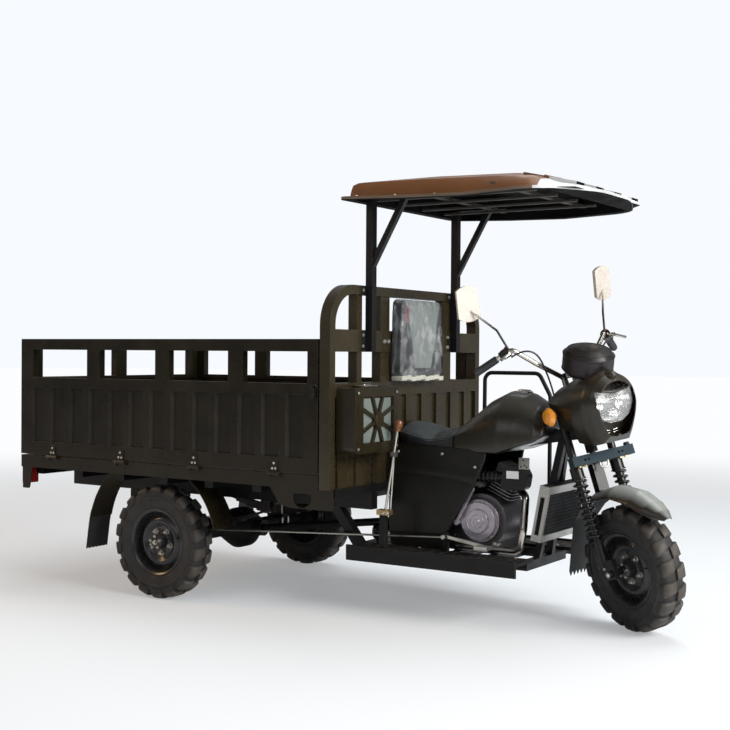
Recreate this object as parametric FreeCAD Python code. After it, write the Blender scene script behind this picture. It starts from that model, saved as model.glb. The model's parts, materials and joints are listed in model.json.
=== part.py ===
import FreeCAD, Part
import math
import os

V = FreeCAD.Vector

# Three-wheeled cargo motorcycle, millimetres. x runs forward from the rear axle, y to the left
# and z up from the ground. Every solid is moved back by MIDDLE_X when it is saved, so that the
# origin lies on the ground under the middle of the whole vehicle.
MIDDLE_X = 767.0
GAP = 0.3
MOVE_GAP = 6.0

# Wheels
TYRE_R = 275.0
TYRE_TREAD_R = 263.0
LUG_COUNT = 18
LUG_EDGE = 49.0
# Carcass from one bead to the middle, as half width and radius
TYRE_HALF = [(48.0, 162.0), (57.0, 200.0), (58.0, 238.0), (45.0, TYRE_TREAD_R)]
RIM_R = 162.0
RIM_BED_R = 150.0
RIM_HALF_W = 52.0
RIM_WALL = 4.0
HUB_R = 36.0
NUT_COUNT = 5
NUT_CIRCLE_R = 52.0
DRUM_R = 92.0
HUB_HALF_REAR = 66.0
SPINDLE_R = 15.0
BORE_PLAY = 0.05
WHEELBASE = 2190.0

# Steering: the axis leans back by RAKE and passes FORK_OFFSET behind the front wheel's centre
RAKE = 18.0
FORK_OFFSET = 50.0
REST_STEER = -30.0
FORK_HALF_SPAN = 112.0
LOWER_YOKE_RISE = 500.0
UPPER_YOKE_RISE = 770.0
STEM_R = 14.0
HEAD_R = 26.0
FORK_TUBE_R = 18.0
SLIDER_R = 24.0
SHROUD_R = 29.0
SPRING_R = 33.0
SPRING_TURNS = 6
SPRING_LOW = 150.0
SPRING_HIGH = 425.0
YOKE_FRONT = 38.0
YOKE_BACK = 26.0
FRONT_AXLE_R = 8.0
HUB_HALF_FRONT = 66.0
HEAD_LOW_RISE = 530.0
BAR_R = 11.0
BAR_RISE = 885.0
# Front fender: angle up from straight ahead, radius on top, radius of the edge, half width
FENDER_SECTIONS = [
    (46, 366, 352, 22),
    (53, 366, 330, 52),
    (62, 365, 320, 70),
    (76, 365, 318, 78),
    (98, 364, 322, 80),
    (120, 364, 330, 78),
]
FLAP_SECTIONS = FENDER_SECTIONS[-2:] + [(136, 364, 338, 75), (152, 364, 350, 70)]
FLAP_LENGTH = 290.0
FLAP_TEETH = 7

# Headlamp cowl along the fork's own middle: x, half width below and at the side, base, side and top
COWL_T = 5.0
COWL_SECTIONS = [
    (1836, 66, 92, 1004, 1020, 1046),
    (1880, 122, 142, 960, 1006, 1074),
    (1960, 130, 150, 884, 1000, 1108),
    (2040, 114, 150, 838, 992, 1130),
    (2105, 90, 140, 826, 988, 1142),
    (2150, 72, 124, 838, 988, 1132),
    (2178, 56, 104, 868, 990, 1106),
]
# Half of the lens outline from the top middle to the bottom middle, as (y, z)
LENS_HALF = [(0, 1050), (52, 1058), (104, 1068), (108, 1004), (80, 950), (34, 923)]
LENS_BACK = 2118.0
LENS_FRONT = 2174.0
BULKHEAD_T = 14.0
POD_R = 112.0

# Cargo bed: its front end stays behind the headboard, and it grows to the rear
BED_FRONT = 984.0
BED_LENGTH = 1890.0
BED_REAR = BED_FRONT - BED_LENGTH
BED_W = 1402.0
TRACK = BED_W - 187.0
FLOOR_TOP = 660.0
SILL_BOTTOM = 597.0
FLOOR_PLATE = 4.0
SILL_W = 40.0
SILL_INSET = 2.0
GATE_T = 38.0
GATE_TOP = 1262.0
RAIL_H = 55.0
PANEL_TOP = 1064.0
POST_W = 86.0
RECESS_DEPTH = 14.0
RECESS_TOP = 1013.0
RECESS_BOTTOM = 733.0
RIB_COUNT = 13
HINGE_R = 8.0
HINGE_OUT = 9.0
BARREL_HALF = 20.0
SIDE_HINGES = 4
TAIL_HINGES = 3
LATCH_Z = 1024.0

# Headboard and canopy
HEAD_T = 55.0
HEAD_TUBE = 42.0
HEAD_TOP = 1508.0
HEAD_CORNER_R = 185.0
MID_RAIL_LOW = 1207.0
MID_RAIL_HIGH = 1306.0
HEAD_PANEL_TOP = 1067.0
HEAD_RIBS = 9
HEAD_REAR = BED_FRONT + MOVE_GAP
HEAD_FRONT = HEAD_REAR + HEAD_T
POST_Y = 400.0
POST_SIZE = 36.0
# Roof lip: its half width, and its height over the ground along x
ROOF_REAR = 965.0
ROOF_HALF = 545.0
LIP_HEIGHTS = [(ROOF_REAR, 1905), (1300, 1891), (1600, 1884), (1955, 1896), (2080, 1908)]
LIP_T = 12.0
# Raised panel of the roof: x, half width below and on top, base, edge and crown heights
ROOF_SECTIONS = [
    (992, 470, 452, 1900, 1914, 1922),
    (1014, 505, 478, 1898, 1958, 1994),
    (1044, 510, 480, 1896, 1967, 2014),
    (1350, 510, 478, 1882, 1963, 2020),
    (1720, 508, 464, 1880, 1955, 2009),
    (1880, 500, 452, 1886, 1947, 1977),
    (1960, 474, 430, 1892, 1918, 1944),
    (2050, 380, 350, 1898, 1909, 1916),
]
ROOF_T = 8.0
ROOF_RIB_Y = (-315.0, -105.0, 105.0, 315.0)

# Chassis
RAIL_Y = 330.0
RAIL_W = 50.0
RAIL_TOP = 560.0
RAIL_DEPTH = 80.0
CRADLE_Y = 190.0
CRADLE_TUBE = 40.0
CRADLE_Z = 268.0
CRADLE_REAR = 850.0
CRADLE_FRONT = 1745.0
DOWN_TUBE_R = 16.0
DOWN_LOW = V(CRADLE_FRONT, 70.0, CRADLE_Z)
DOWN_HIGH = V(1845.0, 16.0, 815.0)
SEAT_STAY_X = 1190.0
SEAT_STAY_Z = 735.0
DROP_X = 830.0
BEARER_COUNT = 7
BOARD_OUTER = 385.0
BOARD_REAR = 925.0
BOARD_FRONT = 1790.0
BOARD_T = 14.0
BOARD_BASE = CRADLE_Z + CRADLE_TUBE / 2 + GAP
BOARD_TOP = BOARD_BASE + BOARD_T + GAP

# Saddle and tank: x, half width below and at the side, base, side and crown heights
SADDLE_BASE = 768.0
JOINT_X = 1384.0
SADDLE_SECTIONS = [
    (1048, 110, 124, 806, 836, 866),
    (1072, 146, 166, 780, 832, 876),
    (1130, 176, 192, SADDLE_BASE, 820, 868),
    (1250, 194, 200, SADDLE_BASE, 800, 838),
    (1340, 198, 196, SADDLE_BASE, 812, 858),
    (1420, 196, 190, SADDLE_BASE, 840, 906),
]
TANK_SECTIONS = [
    (1360, 196, 190, 757, 820, 870),
    (1430, 198, 190, 755, 842, 922),
    (1510, 202, 190, 753, 874, 990),
    (1600, 204, 190, 755, 912, 1034),
    (1690, 198, 178, 786, 918, 1024),
    (1760, 174, 152, 808, 902, 982),
    (1806, 138, 116, 838, 884, 928),
]
COVER_Y = 190.0
COVER_T = 14.0

# Rear axle and springs
AXLE_TUBE_R = 32.0
DIFF_R = 105.0
SPRING_HALF = 430.0
LEAF_W = RAIL_W - 8.0
LEAF_T = 9.0
LEAF_COUNT = 5
EYE_Z = RAIL_TOP - RAIL_DEPTH - 42.0
SHEET_T = 4.0
FENDER_W = 150.0
REAR_FENDER_FRONT_R = 390.0
REAR_FENDER_BACK_R = 436.0

# Engine
ENGINE_X = 1490.0
ENGINE_Z = 440.0
CASE_R = 122.0
CASE_HALF_W = 112.0
GEAR_CASE_X = ENGINE_X - 120.0
GEAR_CASE_R = 84.0
CYLINDER_H = 200.0
CYLINDER_LEAN = 24.0
FIN_COUNT = 6
PIPE_R = 17.0
PIPE_Y = -137.0


def box(x0, x1, y0, y1, z0, z1):
    return Part.makeBox(x1 - x0, y1 - y0, z1 - z0, V(x0, y0, z0))


def rod(start, end, radius):
    return Part.makeCylinder(radius, (end - start).Length, start, end - start)


def join(shapes):
    return shapes[0].multiFuse(shapes[1:]).removeSplitter() if len(shapes) > 1 else shapes[0]


def both_sides(shape):
    return [shape, shape.mirror(V(0, 0, 0), V(0, 1, 0))]


def rounded(points, radii):
    """Closed wire through the points, each corner rounded by its own radius."""
    edges = []
    ends = []
    count = len(points)
    for i, corner in enumerate(points):
        before = (points[i - 1] - corner).normalize()
        after = (points[(i + 1) % count] - corner).normalize()
        if radii[i] <= 0:
            ends.append((corner, corner, None))
            continue
        half = before.getAngle(after) / 2
        reach = radii[i] / math.tan(half)
        middle = (before + after).normalize() * (radii[i] / math.sin(half) - radii[i])
        ends.append((corner + before * reach, corner + after * reach, corner + middle))
    for i, (start, end, middle) in enumerate(ends):
        if middle is not None:
            edges.append(Part.Arc(start, middle, end).toShape())
        following = ends[(i + 1) % count][0]
        if (following - end).Length > 1e-6:
            edges.append(Part.LineSegment(end, following).toShape())
    return Part.Wire(edges)


def side_plate(points, radii, y0, y1):
    """Plate with a rounded outline drawn in the side view, points as (x, z)."""
    wire = rounded([V(x, y0, z) for x, z in points], radii)
    return Part.Face(wire).extrude(V(0, y1 - y0, 0))


def front_plate(points, radii, x0, x1):
    """Plate with a rounded outline drawn in the front view, points as (y, z)."""
    wire = rounded([V(x0, y, z) for y, z in points], radii)
    return Part.Face(wire).extrude(V(x1 - x0, 0, 0))


def bent_tube(points, bend_r, radius):
    """Round bar: straight rods joined by bends, each bend turned about its own centre."""
    parts = []
    start = points[0]
    for i in range(1, len(points) - 1):
        corner = points[i]
        before = (points[i - 1] - corner).normalize()
        after = (points[i + 1] - corner).normalize()
        half = before.getAngle(after) / 2
        reach = bend_r / math.tan(half)
        entry = corner + before * reach
        centre = corner + (before + after).normalize() * (bend_r / math.sin(half))
        parts.append(rod(start, entry, radius))
        disc = Part.Face(Part.Wire(Part.makeCircle(radius, entry, before)))
        turn = 180 - math.degrees(2 * half)
        parts.append(disc.revolve(centre, after.cross(before), turn))
        start = corner + after * reach
    parts.append(rod(start, points[-1], radius))
    return join(parts)


def beam(start, end, width, height):
    """Rectangular bar between two points, width along y, height across it."""
    along = end - start
    length = along.Length
    bar = Part.makeBox(length, width, height, V(0, -width / 2, -height / 2))
    bar.Placement = FreeCAD.Placement(start, FreeCAD.Rotation(along, V(0, 1, 0), V(0, 0, 1), "XYZ"))
    return bar


def section(x, half_low, half_high, z_low, z_side, z_top):
    """Section across the vehicle: flat base, bellied sides and an arched top."""
    belly = abs(z_side - z_low) * 0.07
    middle_y = (half_low + half_high) / 2 + belly
    middle_z = (z_low + z_side) / 2
    low_l = V(x, -half_low, z_low)
    low_r = V(x, half_low, z_low)
    high_l = V(x, -half_high, z_side)
    high_r = V(x, half_high, z_side)
    return Part.Wire([
        Part.LineSegment(low_l, low_r).toShape(),
        Part.Arc(low_r, V(x, middle_y, middle_z), high_r).toShape(),
        Part.Arc(high_r, V(x, 0, z_top), high_l).toShape(),
        Part.Arc(high_l, V(x, -middle_y, middle_z), low_l).toShape(),
    ])


def crowned(sections):
    return Part.makeLoft([section(*s) for s in sections], True, True)


def ring_wire(radius, y, sides):
    """Regular polygon about the y axis, with a flat at the bottom that is radius away."""
    reach = radius / math.cos(math.pi / sides)
    points = []
    for i in range(sides + 1):
        angle = -math.pi / 2 + (i % sides + 0.5) * 2 * math.pi / sides
        points.append(V(reach * math.cos(angle), y, reach * math.sin(angle)))
    return Part.makePolygon(points)


def save(name, shapes):
    solids = [s for shape in shapes for s in shape.Solids]
    whole = Part.Compound(solids) if len(solids) > 1 else solids[0].copy()
    whole.translate(V(-MIDDLE_X, 0, 0))
    whole.exportStep(f"parts/{name}.step")


# The front wheel's height is worked out from its lean when steered, so that it meets the ground
def lean_sine():
    return math.sin(math.radians(abs(REST_STEER))) * math.sin(math.radians(RAKE))


def wheel_drop():
    """Height of the leaning wheel's centre over the ground."""
    sine = lean_sine()
    cosine = math.sqrt(1 - sine * sine)
    return TYRE_R * cosine + LUG_EDGE * sine


AXIS = V(-math.sin(math.radians(RAKE)), 0, math.cos(math.radians(RAKE)))
AHEAD = V(math.cos(math.radians(RAKE)), 0, math.sin(math.radians(RAKE)))
OFFSET_TURNED = FreeCAD.Rotation(AXIS, REST_STEER).multVec(AHEAD * FORK_OFFSET)
STEER_POINT = V(WHEELBASE - FORK_OFFSET * AHEAD.x, 0, wheel_drop() - OFFSET_TURNED.z)
FRONT_HUB = STEER_POINT + AHEAD * FORK_OFFSET


def on_fork(ahead, y, rise):
    """Point given along the steering axis: ahead of it, across it, and up it from the hub line."""
    return STEER_POINT + AHEAD * ahead + V(0, y, 0) + AXIS * rise


def steer(shape):
    turned = shape.copy()
    turned.rotate(STEER_POINT, AXIS, REST_STEER)
    return turned


def fork_box(ahead0, ahead1, y0, y1, rise0, rise1):
    """Box squared to the steering axis."""
    block = box(ahead0, ahead1, y0, y1, rise0, rise1)
    block.rotate(V(0, 0, 0), V(0, 1, 0), -RAKE)
    block.translate(STEER_POINT)
    return block


def flat_sided(outline, sides, count):
    """Solid of flat faces: an outline of (y, r) carried round the y axis over count of its sides."""
    rings = []
    for i in range(count + 1):
        angle = (i % sides - 0.5) * 2 * math.pi / sides
        ring = []
        for y, r in outline:
            reach = r / math.cos(math.pi / sides)
            ring.append(V(reach * math.sin(angle), y, -reach * math.cos(angle)))
        rings.append(ring)
    loops = [rings[0], rings[-1]] if count < sides else []
    for start, end in zip(rings, rings[1:]):
        for j in range(len(outline)):
            loops.append([start[j], start[j - 1], end[j - 1], end[j]])
    return Part.Solid(Part.Shell([Part.Face(Part.makePolygon(loop + loop[:1])) for loop in loops]))


# Tyres with two staggered rows of lugs, each as long as one flat of the carcass and wrapped over
# its shoulder. Modelled round the y axis
def tyre():
    flats = 2 * LUG_COUNT
    bore_half, _ = TYRE_HALF[0]
    outline = [(-bore_half, RIM_BED_R)] + [(-y, r) for y, r in TYRE_HALF]
    outline += [(-y, r) for y, r in reversed(outline)]
    carcass = flat_sided(outline, flats, flats)
    lug_outline = [
        (5, TYRE_TREAD_R - 6),
        (5, TYRE_R),
        (LUG_EDGE, TYRE_R),
        (LUG_EDGE + 13, TYRE_R - 34),
        (LUG_EDGE, TYRE_R - 34),
    ]
    block = flat_sided(lug_outline, flats, 1)
    lugs = []
    for i in range(flats):
        lug = block if i % 2 else block.mirror(V(0, 0, 0), V(0, 1, 0))
        lug = lug.copy()
        lug.rotate(V(0, 0, 0), V(0, 1, 0), i * 360.0 / flats)
        lugs.append(lug)
    return carcass.multiFuse(lugs)


# Pressed steel wheel: rim barrel, dished disc, hub and nuts. The face looks to -y
def disc_wheel(hub_half, bore_r, bore_from):
    """Wheel with its axle hole, which runs from bore_from to the hub's inner end."""
    lip = RIM_HALF_W - RIM_WALL + GAP
    barrel = [
        (RIM_BED_R - RIM_WALL, -RIM_HALF_W),
        (RIM_R, -RIM_HALF_W),
        (RIM_R, -lip),
        (RIM_BED_R - GAP, -lip),
        (RIM_BED_R - GAP, lip),
        (RIM_R, lip),
        (RIM_R, RIM_HALF_W),
        (RIM_BED_R - RIM_WALL, RIM_HALF_W),
    ]
    dish = [
        (HUB_R - 4, -8),
        (NUT_CIRCLE_R + 18, -8),
        (RIM_BED_R - 42, -26),
        (RIM_BED_R - RIM_WALL + 1, -6),
        (RIM_BED_R - RIM_WALL + 1, 0),
        (RIM_BED_R - 42, -20),
        (NUT_CIRCLE_R + 18, 0),
        (HUB_R - 4, 0),
    ]
    rings = []
    for profile in (barrel, dish):
        wire = rounded([V(r, y, 0) for r, y in profile], [0] * len(profile))
        rings.append(Part.Face(wire).revolve(V(0, 0, 0), V(0, 1, 0), 360))
    hub = rod(V(0, -hub_half, 0), V(0, hub_half, 0), HUB_R)
    nut = Part.Face(ring_wire(9, -24, 6)).extrude(V(0, 20, 0))
    nuts = []
    for i in range(NUT_COUNT):
        placed = nut.copy()
        placed.translate(V(NUT_CIRCLE_R, 0, 0))
        placed.rotate(V(0, 0, 0), V(0, 1, 0), i * 360.0 / NUT_COUNT)
        nuts.append(placed)
    wheel = rings[0].multiFuse([rings[1], hub] + nuts)
    bore = rod(V(0, bore_from, 0), V(0, hub_half + 5, 0), bore_r)
    return wheel.cut(bore)


def place_wheel(shape, y):
    wheel = shape.copy()
    if y > 0:
        wheel = wheel.mirror(V(0, 0, 0), V(0, 1, 0))
    wheel.translate(V(0, y, TYRE_R))
    return wheel


def front_wheel(shape):
    wheel = shape.copy()
    wheel.translate(FRONT_HUB)
    return steer(wheel)


# Fork: two yokes, legs with shrouds and sliders, the axle and the stays of the lamp
def fork():
    parts = []
    for rise, half in ((LOWER_YOKE_RISE, 24.0), (UPPER_YOKE_RISE, 10.0)):
        reach = FORK_HALF_SPAN + 10
        parts.append(fork_box(-YOKE_BACK, YOKE_FRONT, -reach, reach, rise - half, rise + half))
    for side in (-1, 1):
        y = side * FORK_HALF_SPAN
        tube = ((60, UPPER_YOKE_RISE, FORK_TUBE_R), (30, SPRING_LOW - GAP, SLIDER_R))
        shroud = (SPRING_HIGH + GAP, LOWER_YOKE_RISE - 20, SHROUD_R)
        for low, high, radius in tube + (shroud,):
            parts.append(rod(on_fork(0, y, low), on_fork(0, y, high), radius))
        parts.append(fork_box(-SLIDER_R, FORK_OFFSET + SLIDER_R, y - 12, y + 12, -24, 60))
        near = side * (HUB_HALF_FRONT + GAP)
        middle = side * (FORK_HALF_SPAN + 10)
        far = side * (FORK_HALF_SPAN + 30)
        parts.append(rod(on_fork(FORK_OFFSET, near, 0), on_fork(FORK_OFFSET, middle, 0), 15))
        parts.append(rod(on_fork(FORK_OFFSET, middle, 0), on_fork(FORK_OFFSET, far, 0), 16))
        stay = on_fork(YOKE_FRONT - 10, y, UPPER_YOKE_RISE)
        parts.append(rod(stay, V(LENS_BACK - BULKHEAD_T - GAP, y, stay.z), 7))
    reach = FORK_HALF_SPAN + 26
    parts.append(rod(on_fork(FORK_OFFSET, -reach, 0), on_fork(FORK_OFFSET, reach, 0), FRONT_AXLE_R))
    stem_low = on_fork(0, 0, LOWER_YOKE_RISE + 20)
    stem_high = on_fork(0, 0, UPPER_YOKE_RISE - 5)
    parts.append(rod(stem_low, stem_high, STEM_R))
    return steer(join(parts))


def fork_springs():
    pitch = (SPRING_HIGH - SPRING_LOW) / SPRING_TURNS
    points = [(FORK_TUBE_R + GAP, SPRING_LOW)]
    for i in range(SPRING_TURNS):
        points.append((SPRING_R - 8, SPRING_LOW + i * pitch))
        points.append((SPRING_R, SPRING_LOW + (i + 0.5) * pitch))
    points.append((SPRING_R - 8, SPRING_HIGH))
    points.append((FORK_TUBE_R + GAP, SPRING_HIGH))
    wire = rounded([V(r, 0, z) for r, z in points], [0] * len(points))
    coil = Part.Face(wire).revolve(V(0, 0, 0), V(0, 0, 1), 360)
    placed = []
    for side in (-1, 1):
        spring = coil.copy()
        spring.rotate(V(0, 0, 0), V(0, 1, 0), -RAKE)
        spring.translate(STEER_POINT + V(0, side * FORK_HALF_SPAN, 0))
        placed.append(steer(spring))
    return placed


# Cross bar in front of the lower yoke, drilled for an extra lamp
def fork_bar():
    back = YOKE_FRONT + GAP
    low = LOWER_YOKE_RISE - 22
    high = LOWER_YOKE_RISE + 22
    bar = fork_box(back, YOKE_FRONT + 36, -170, 170, low, high)
    holes = []
    for y in (-104, -84, 84, 104):
        start = on_fork(YOKE_FRONT, y, LOWER_YOKE_RISE)
        holes.append(rod(start, start + AHEAD * 50, 5.5))
    return steer(bar.cut(holes))


# Front fender: a sheet lofted round the wheel, with turned down sides and a narrow tip
def arc_point(angle, radius, y):
    turn = math.radians(angle)
    return FRONT_HUB + V(radius * math.cos(turn), y, radius * math.sin(turn))


def fender_wire(angle, top, side, half, depth):
    """Arched section at an angle round the wheel, closed by a straight line depth below it."""
    left = arc_point(angle, side, -half)
    right = arc_point(angle, side, half)
    low_left = arc_point(angle, side - depth, -half)
    low_right = arc_point(angle, side - depth, half)
    edges = [Part.Arc(left, arc_point(angle, top, 0), right).toShape()]
    edges.append(Part.LineSegment(right, low_right).toShape())
    edges.append(Part.LineSegment(low_right, low_left).toShape())
    edges.append(Part.LineSegment(low_left, left).toShape())
    return Part.Wire(edges)


def fender_sheet(sections, inset):
    """Sheet of SHEET_T that lies inset below the given sections."""
    solids = []
    for below, depth in ((inset, 1), (inset + SHEET_T, 60)):
        wires = [fender_wire(a, top - below, side, half - below, depth) for a, top, side, half in sections]
        solids.append(Part.makeLoft(wires, True, True))
    return solids[0].cut(solids[1])


def front_fender():
    stand = fork_box(-YOKE_BACK, 10, -28, 28, 300, LOWER_YOKE_RISE - 24 - GAP)
    top_r = FENDER_SECTIONS[-1][1]
    ring = Part.makeCylinder(top_r - 5, 80, FRONT_HUB + V(0, -40, 0), V(0, 1, 0))
    return steer(fender_sheet(FENDER_SECTIONS, 0).fuse(stand.cut(ring)))


def front_mudflap():
    strip = fender_sheet(FLAP_SECTIONS, SHEET_T + 1)
    angle, top, side, half = FLAP_SECTIONS[-1]
    start = arc_point(angle - 3, side + 6, 0)
    down = V(-0.24, 0, -0.97).normalize()
    tooth = 2 * half / FLAP_TEETH
    outline = [(-half + 6, 0), (-half, FLAP_LENGTH - 26)]
    for i in range(FLAP_TEETH):
        outline.append((-half + (i + 0.5) * tooth, FLAP_LENGTH))
        outline.append((-half + (i + 1) * tooth, FLAP_LENGTH - 26))
    outline.append((half - 6, 0))
    wire = rounded([start + V(0, y, 0) + down * reach for y, reach in outline], [0] * len(outline))
    flap = Part.Face(wire).extrude(down.cross(V(0, 1, 0)) * SHEET_T)
    return steer(strip.fuse(flap))


# Headlamp cowl with its lens and the instrument pod above it
def cowl_body(inset):
    sections = []
    for x, half_low, half_high, z_low, z_side, z_top in COWL_SECTIONS:
        sections.append((x, half_low - inset, half_high - inset, z_low + inset, z_side, z_top - inset))
    return crowned(sections)


def lens_prism(x0, x1, inset):
    """Block with the lens outline, drawn in by inset, between two planes across the fork."""
    half = [(y - inset if y > inset else y, z) for y, z in LENS_HALF]
    half[0] = (0, half[0][1] - inset)
    half[-1] = (half[-1][0], half[-1][1] + inset)
    points = half + [(-y, z) for y, z in reversed(half) if y > 0]
    radii = [4] * len(points)
    return front_plate(points, radii, x0, x1)


def headlamp_cowl():
    body = cowl_body(0)
    bulkhead = body.common(box(LENS_BACK - BULKHEAD_T, LENS_BACK, -200, 200, 780, 1200))
    shell = body.cut(cowl_body(COWL_T)).fuse(bulkhead)
    front = COWL_SECTIONS[-1][0] + 10
    openings = [
        lens_prism(LENS_BACK, front, 0),
        lens_prism(LENS_BACK - 40, LENS_BACK + 1, 14),
        box(1780, 2040, -134, 134, 780, 965),
        box(1780, 1850, -134, 134, 780, 1034),
        box(1820, 1925, -62, 62, 1000, 1200),
    ]
    for side in (-1, 1):
        slot = [(side * 8, 862), (side * 40, 870), (side * 44, 892), (side * 8, 896)]
        openings.append(front_plate(slot, [4] * 4, LENS_BACK, front))
    return steer(shell.cut(openings))


def headlamp_lens():
    ball_r = 260.0
    _, middle_z = LENS_HALF[3]
    ball = Part.makeSphere(ball_r, V(LENS_FRONT - ball_r, 0, middle_z))
    return steer(lens_prism(LENS_BACK + GAP, LENS_FRONT, GAP).common(ball))


def instrument_pod():
    profile = [(0, 0), (POD_R - 12, 0), (POD_R, 18), (POD_R, 86), (POD_R - 16, 104), (50, 115), (0, 118)]
    wire = rounded([V(r, 0, z) for r, z in profile], [0] * len(profile))
    drum = Part.Face(wire).revolve(V(0, 0, 0), V(0, 0, 1), 360)
    drum.rotate(V(0, 0, 0), V(0, 1, 0), 15.6)
    drum.translate(V(1992, 0, 1128))
    return steer(drum.cut(cowl_body(0)))


def bar_route(side):
    return [
        on_fork(-6, side * 40, BAR_RISE),
        V(1850, side * 165, 1185),
        V(1812, side * 262, 1262),
        V(1712, side * 390, 1172),
    ]


def handlebar():
    parts = []
    for side in (-1, 1):
        parts.append(bent_tube(bar_route(side), 30, BAR_R))
    parts.append(rod(bar_route(-1)[0] + V(0, -6, 0), bar_route(1)[0] + V(0, 6, 0), BAR_R))
    for side in (-1, 1):
        foot = on_fork(-6, side * 30, UPPER_YOKE_RISE + 10 + GAP)
        parts.append(rod(foot, on_fork(-6, side * 30, BAR_RISE + 14), 15))
        knee = bar_route(side)[2]
        out = (bar_route(side)[3] - knee).normalize()
        perch = knee + out * 30
        parts.append(rod(perch - out * 14, perch + out * 14, 19))
        lever_end = perch + out * 100 + V(112, 0, 30)
        parts.append(beam(perch + V(6, 0, 2), perch + V(50, side * 10, 5), 14, 16))
        parts.append(beam(perch + V(42, side * 8, 4), lever_end, 10, 10))
    return steer(join(parts))


def grips():
    made = []
    for side in (-1, 1):
        knee = bar_route(side)[2]
        end = bar_route(side)[3]
        out = (end - knee).normalize()
        sleeve = rod(end - out * 108, end + out * 8, 17)
        made.append(steer(sleeve.cut(rod(end - out * 130, end + out * GAP, BAR_R + GAP))))
    return made


def mirrors():
    made = []
    bar = handlebar()
    for side in (-1, 1):
        clamp = bar_route(side)[2] + V(-8, side * 8, -6)
        head_at = clamp + V(-132, side * 110, 222)
        stem = bent_tube([clamp, clamp + V(-36, side * 30, 94), head_at + V(18, -side * 6, -33)], 20, 5)
        head = Part.makeCylinder(80, 16, V(0, 0, 0), V(1, 0, 0))
        head = head.common(box(0, 20, -52, 52, -82, 82))
        head.rotate(V(0, 0, 0), V(0, 0, 1), side * 10)
        head.translate(head_at)
        made.append(steer(stem.fuse(head)).cut(bar))
    return made


def turn_signals():
    made = []
    outline = [(0, -24), (30, -16), (42, 0), (30, 16), (0, 24)]
    for side in (-1, 1):
        stalk = rod(V(1945, side * 100, 962), V(1945, side * 170, 958), 8)
        wire = rounded([V(r, y, 0) for r, y in outline], [0] * 5)
        lamp = Part.Face(wire).revolve(V(0, 0, 0), V(0, 1, 0), 360)
        lamp.translate(V(1945, side * 190, 957))
        made.append(steer(stalk.fuse(lamp).cut(cowl_body(0))))
    return made


def control_cables():
    made = []
    bar = handlebar()
    cowl = headlamp_cowl()
    for side in (-1, 1):
        route = [
            V(1838, side * 285, 1232),
            V(1922, side * 225, 1290),
            V(1856, side * 96, 1090),
            V(1850, side * 80, 1000),
        ]
        cable = steer(bent_tube(route, 30, 4))
        made.append(max(cable.cut([bar, cowl]).Solids, key=lambda s: s.Volume))
    return made


# Chassis: two rails under the bed, cross members, cradle round the engine and steering head
def chassis_rails():
    made = []
    for side in (-1, 1):
        y = side * RAIL_Y
        low = RAIL_TOP - RAIL_DEPTH
        rail = box(BED_REAR + 30, HEAD_FRONT, y - RAIL_W / 2, y + RAIL_W / 2, low, RAIL_TOP)
        drop_top = V(DROP_X, y, low + 10)
        drop = beam(drop_top, V(DROP_X + 60, side * CRADLE_Y, CRADLE_Z), 40, 50)
        made.append(join([rail, drop]).cut(cradle()))
    return made


def cross_members():
    """Bars between the rails, and bearers on the rails that carry the floor."""
    inner = RAIL_Y - RAIL_W / 2 - GAP
    made = []
    for x in (BED_REAR + 60, -SPRING_HALF, SPRING_HALF, DROP_X + 20):
        made.append(box(x - 25, x + 25, -inner, inner, RAIL_TOP - 60, RAIL_TOP - 10))
    half = BED_W / 2 - SILL_W - 8
    base = RAIL_TOP + GAP
    end = SILL_W + 50
    for i in range(BEARER_COUNT):
        x = BED_REAR + end + i * (BED_LENGTH - 2 * end) / (BEARER_COUNT - 1)
        made.append(box(x - 25, x + 25, -half, half, base, FLOOR_TOP - FLOOR_PLATE - GAP))
    made.append(box(HEAD_REAR, HEAD_FRONT, -half, half, base, SILL_BOTTOM))
    return made


def backbone(extra):
    """Main tube from the seat stays to the steering head, or the space round it."""
    tip = on_fork(0, 0, HEAD_LOW_RISE + 90)
    return beam(V(SEAT_STAY_X, 0, SEAT_STAY_Z), tip, 46 + 2 * extra, 54 + 2 * extra)


def cradle():
    parts = []
    half = CRADLE_TUBE / 2
    stay_foot = SEAT_STAY_X - 40
    low = CRADLE_Z - half
    high = CRADLE_Z + half
    head_low = on_fork(0, 0, HEAD_LOW_RISE)
    head_high = on_fork(0, 0, UPPER_YOKE_RISE - 10 - MOVE_GAP)
    for side in (-1, 1):
        y = side * CRADLE_Y
        parts.append(box(CRADLE_REAR, CRADLE_FRONT + half, y - half, y + half, low, high))
        down_low = V(DOWN_LOW.x, side * DOWN_LOW.y, DOWN_LOW.z)
        down_high = V(DOWN_HIGH.x, side * DOWN_HIGH.y, DOWN_HIGH.z)
        parts.append(beam(down_low, down_high, 2 * DOWN_TUBE_R - 2, 2 * DOWN_TUBE_R))
        stay = V(stay_foot, side * (CRADLE_Y - 50), CRADLE_Z)
        parts.append(beam(stay, V(SEAT_STAY_X, side * 60, SEAT_STAY_Z), 36, 36))
    for x in (CRADLE_REAR + half, stay_foot, ENGINE_X - 130, ENGINE_X + 60, CRADLE_FRONT):
        parts.append(box(x - half, x + half, -CRADLE_Y, CRADLE_Y, low, high))
    parts.append(box(SEAT_STAY_X - 18, SEAT_STAY_X + 18, -78, 78, SEAT_STAY_Z - 18, SADDLE_BASE - GAP))
    parts.append(backbone(0))
    parts.append(rod(head_low, head_high, HEAD_R))
    return join(parts).cut(rod(head_low - AXIS * 4, head_high + AXIS * 4, STEM_R + BORE_PLAY))


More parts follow.
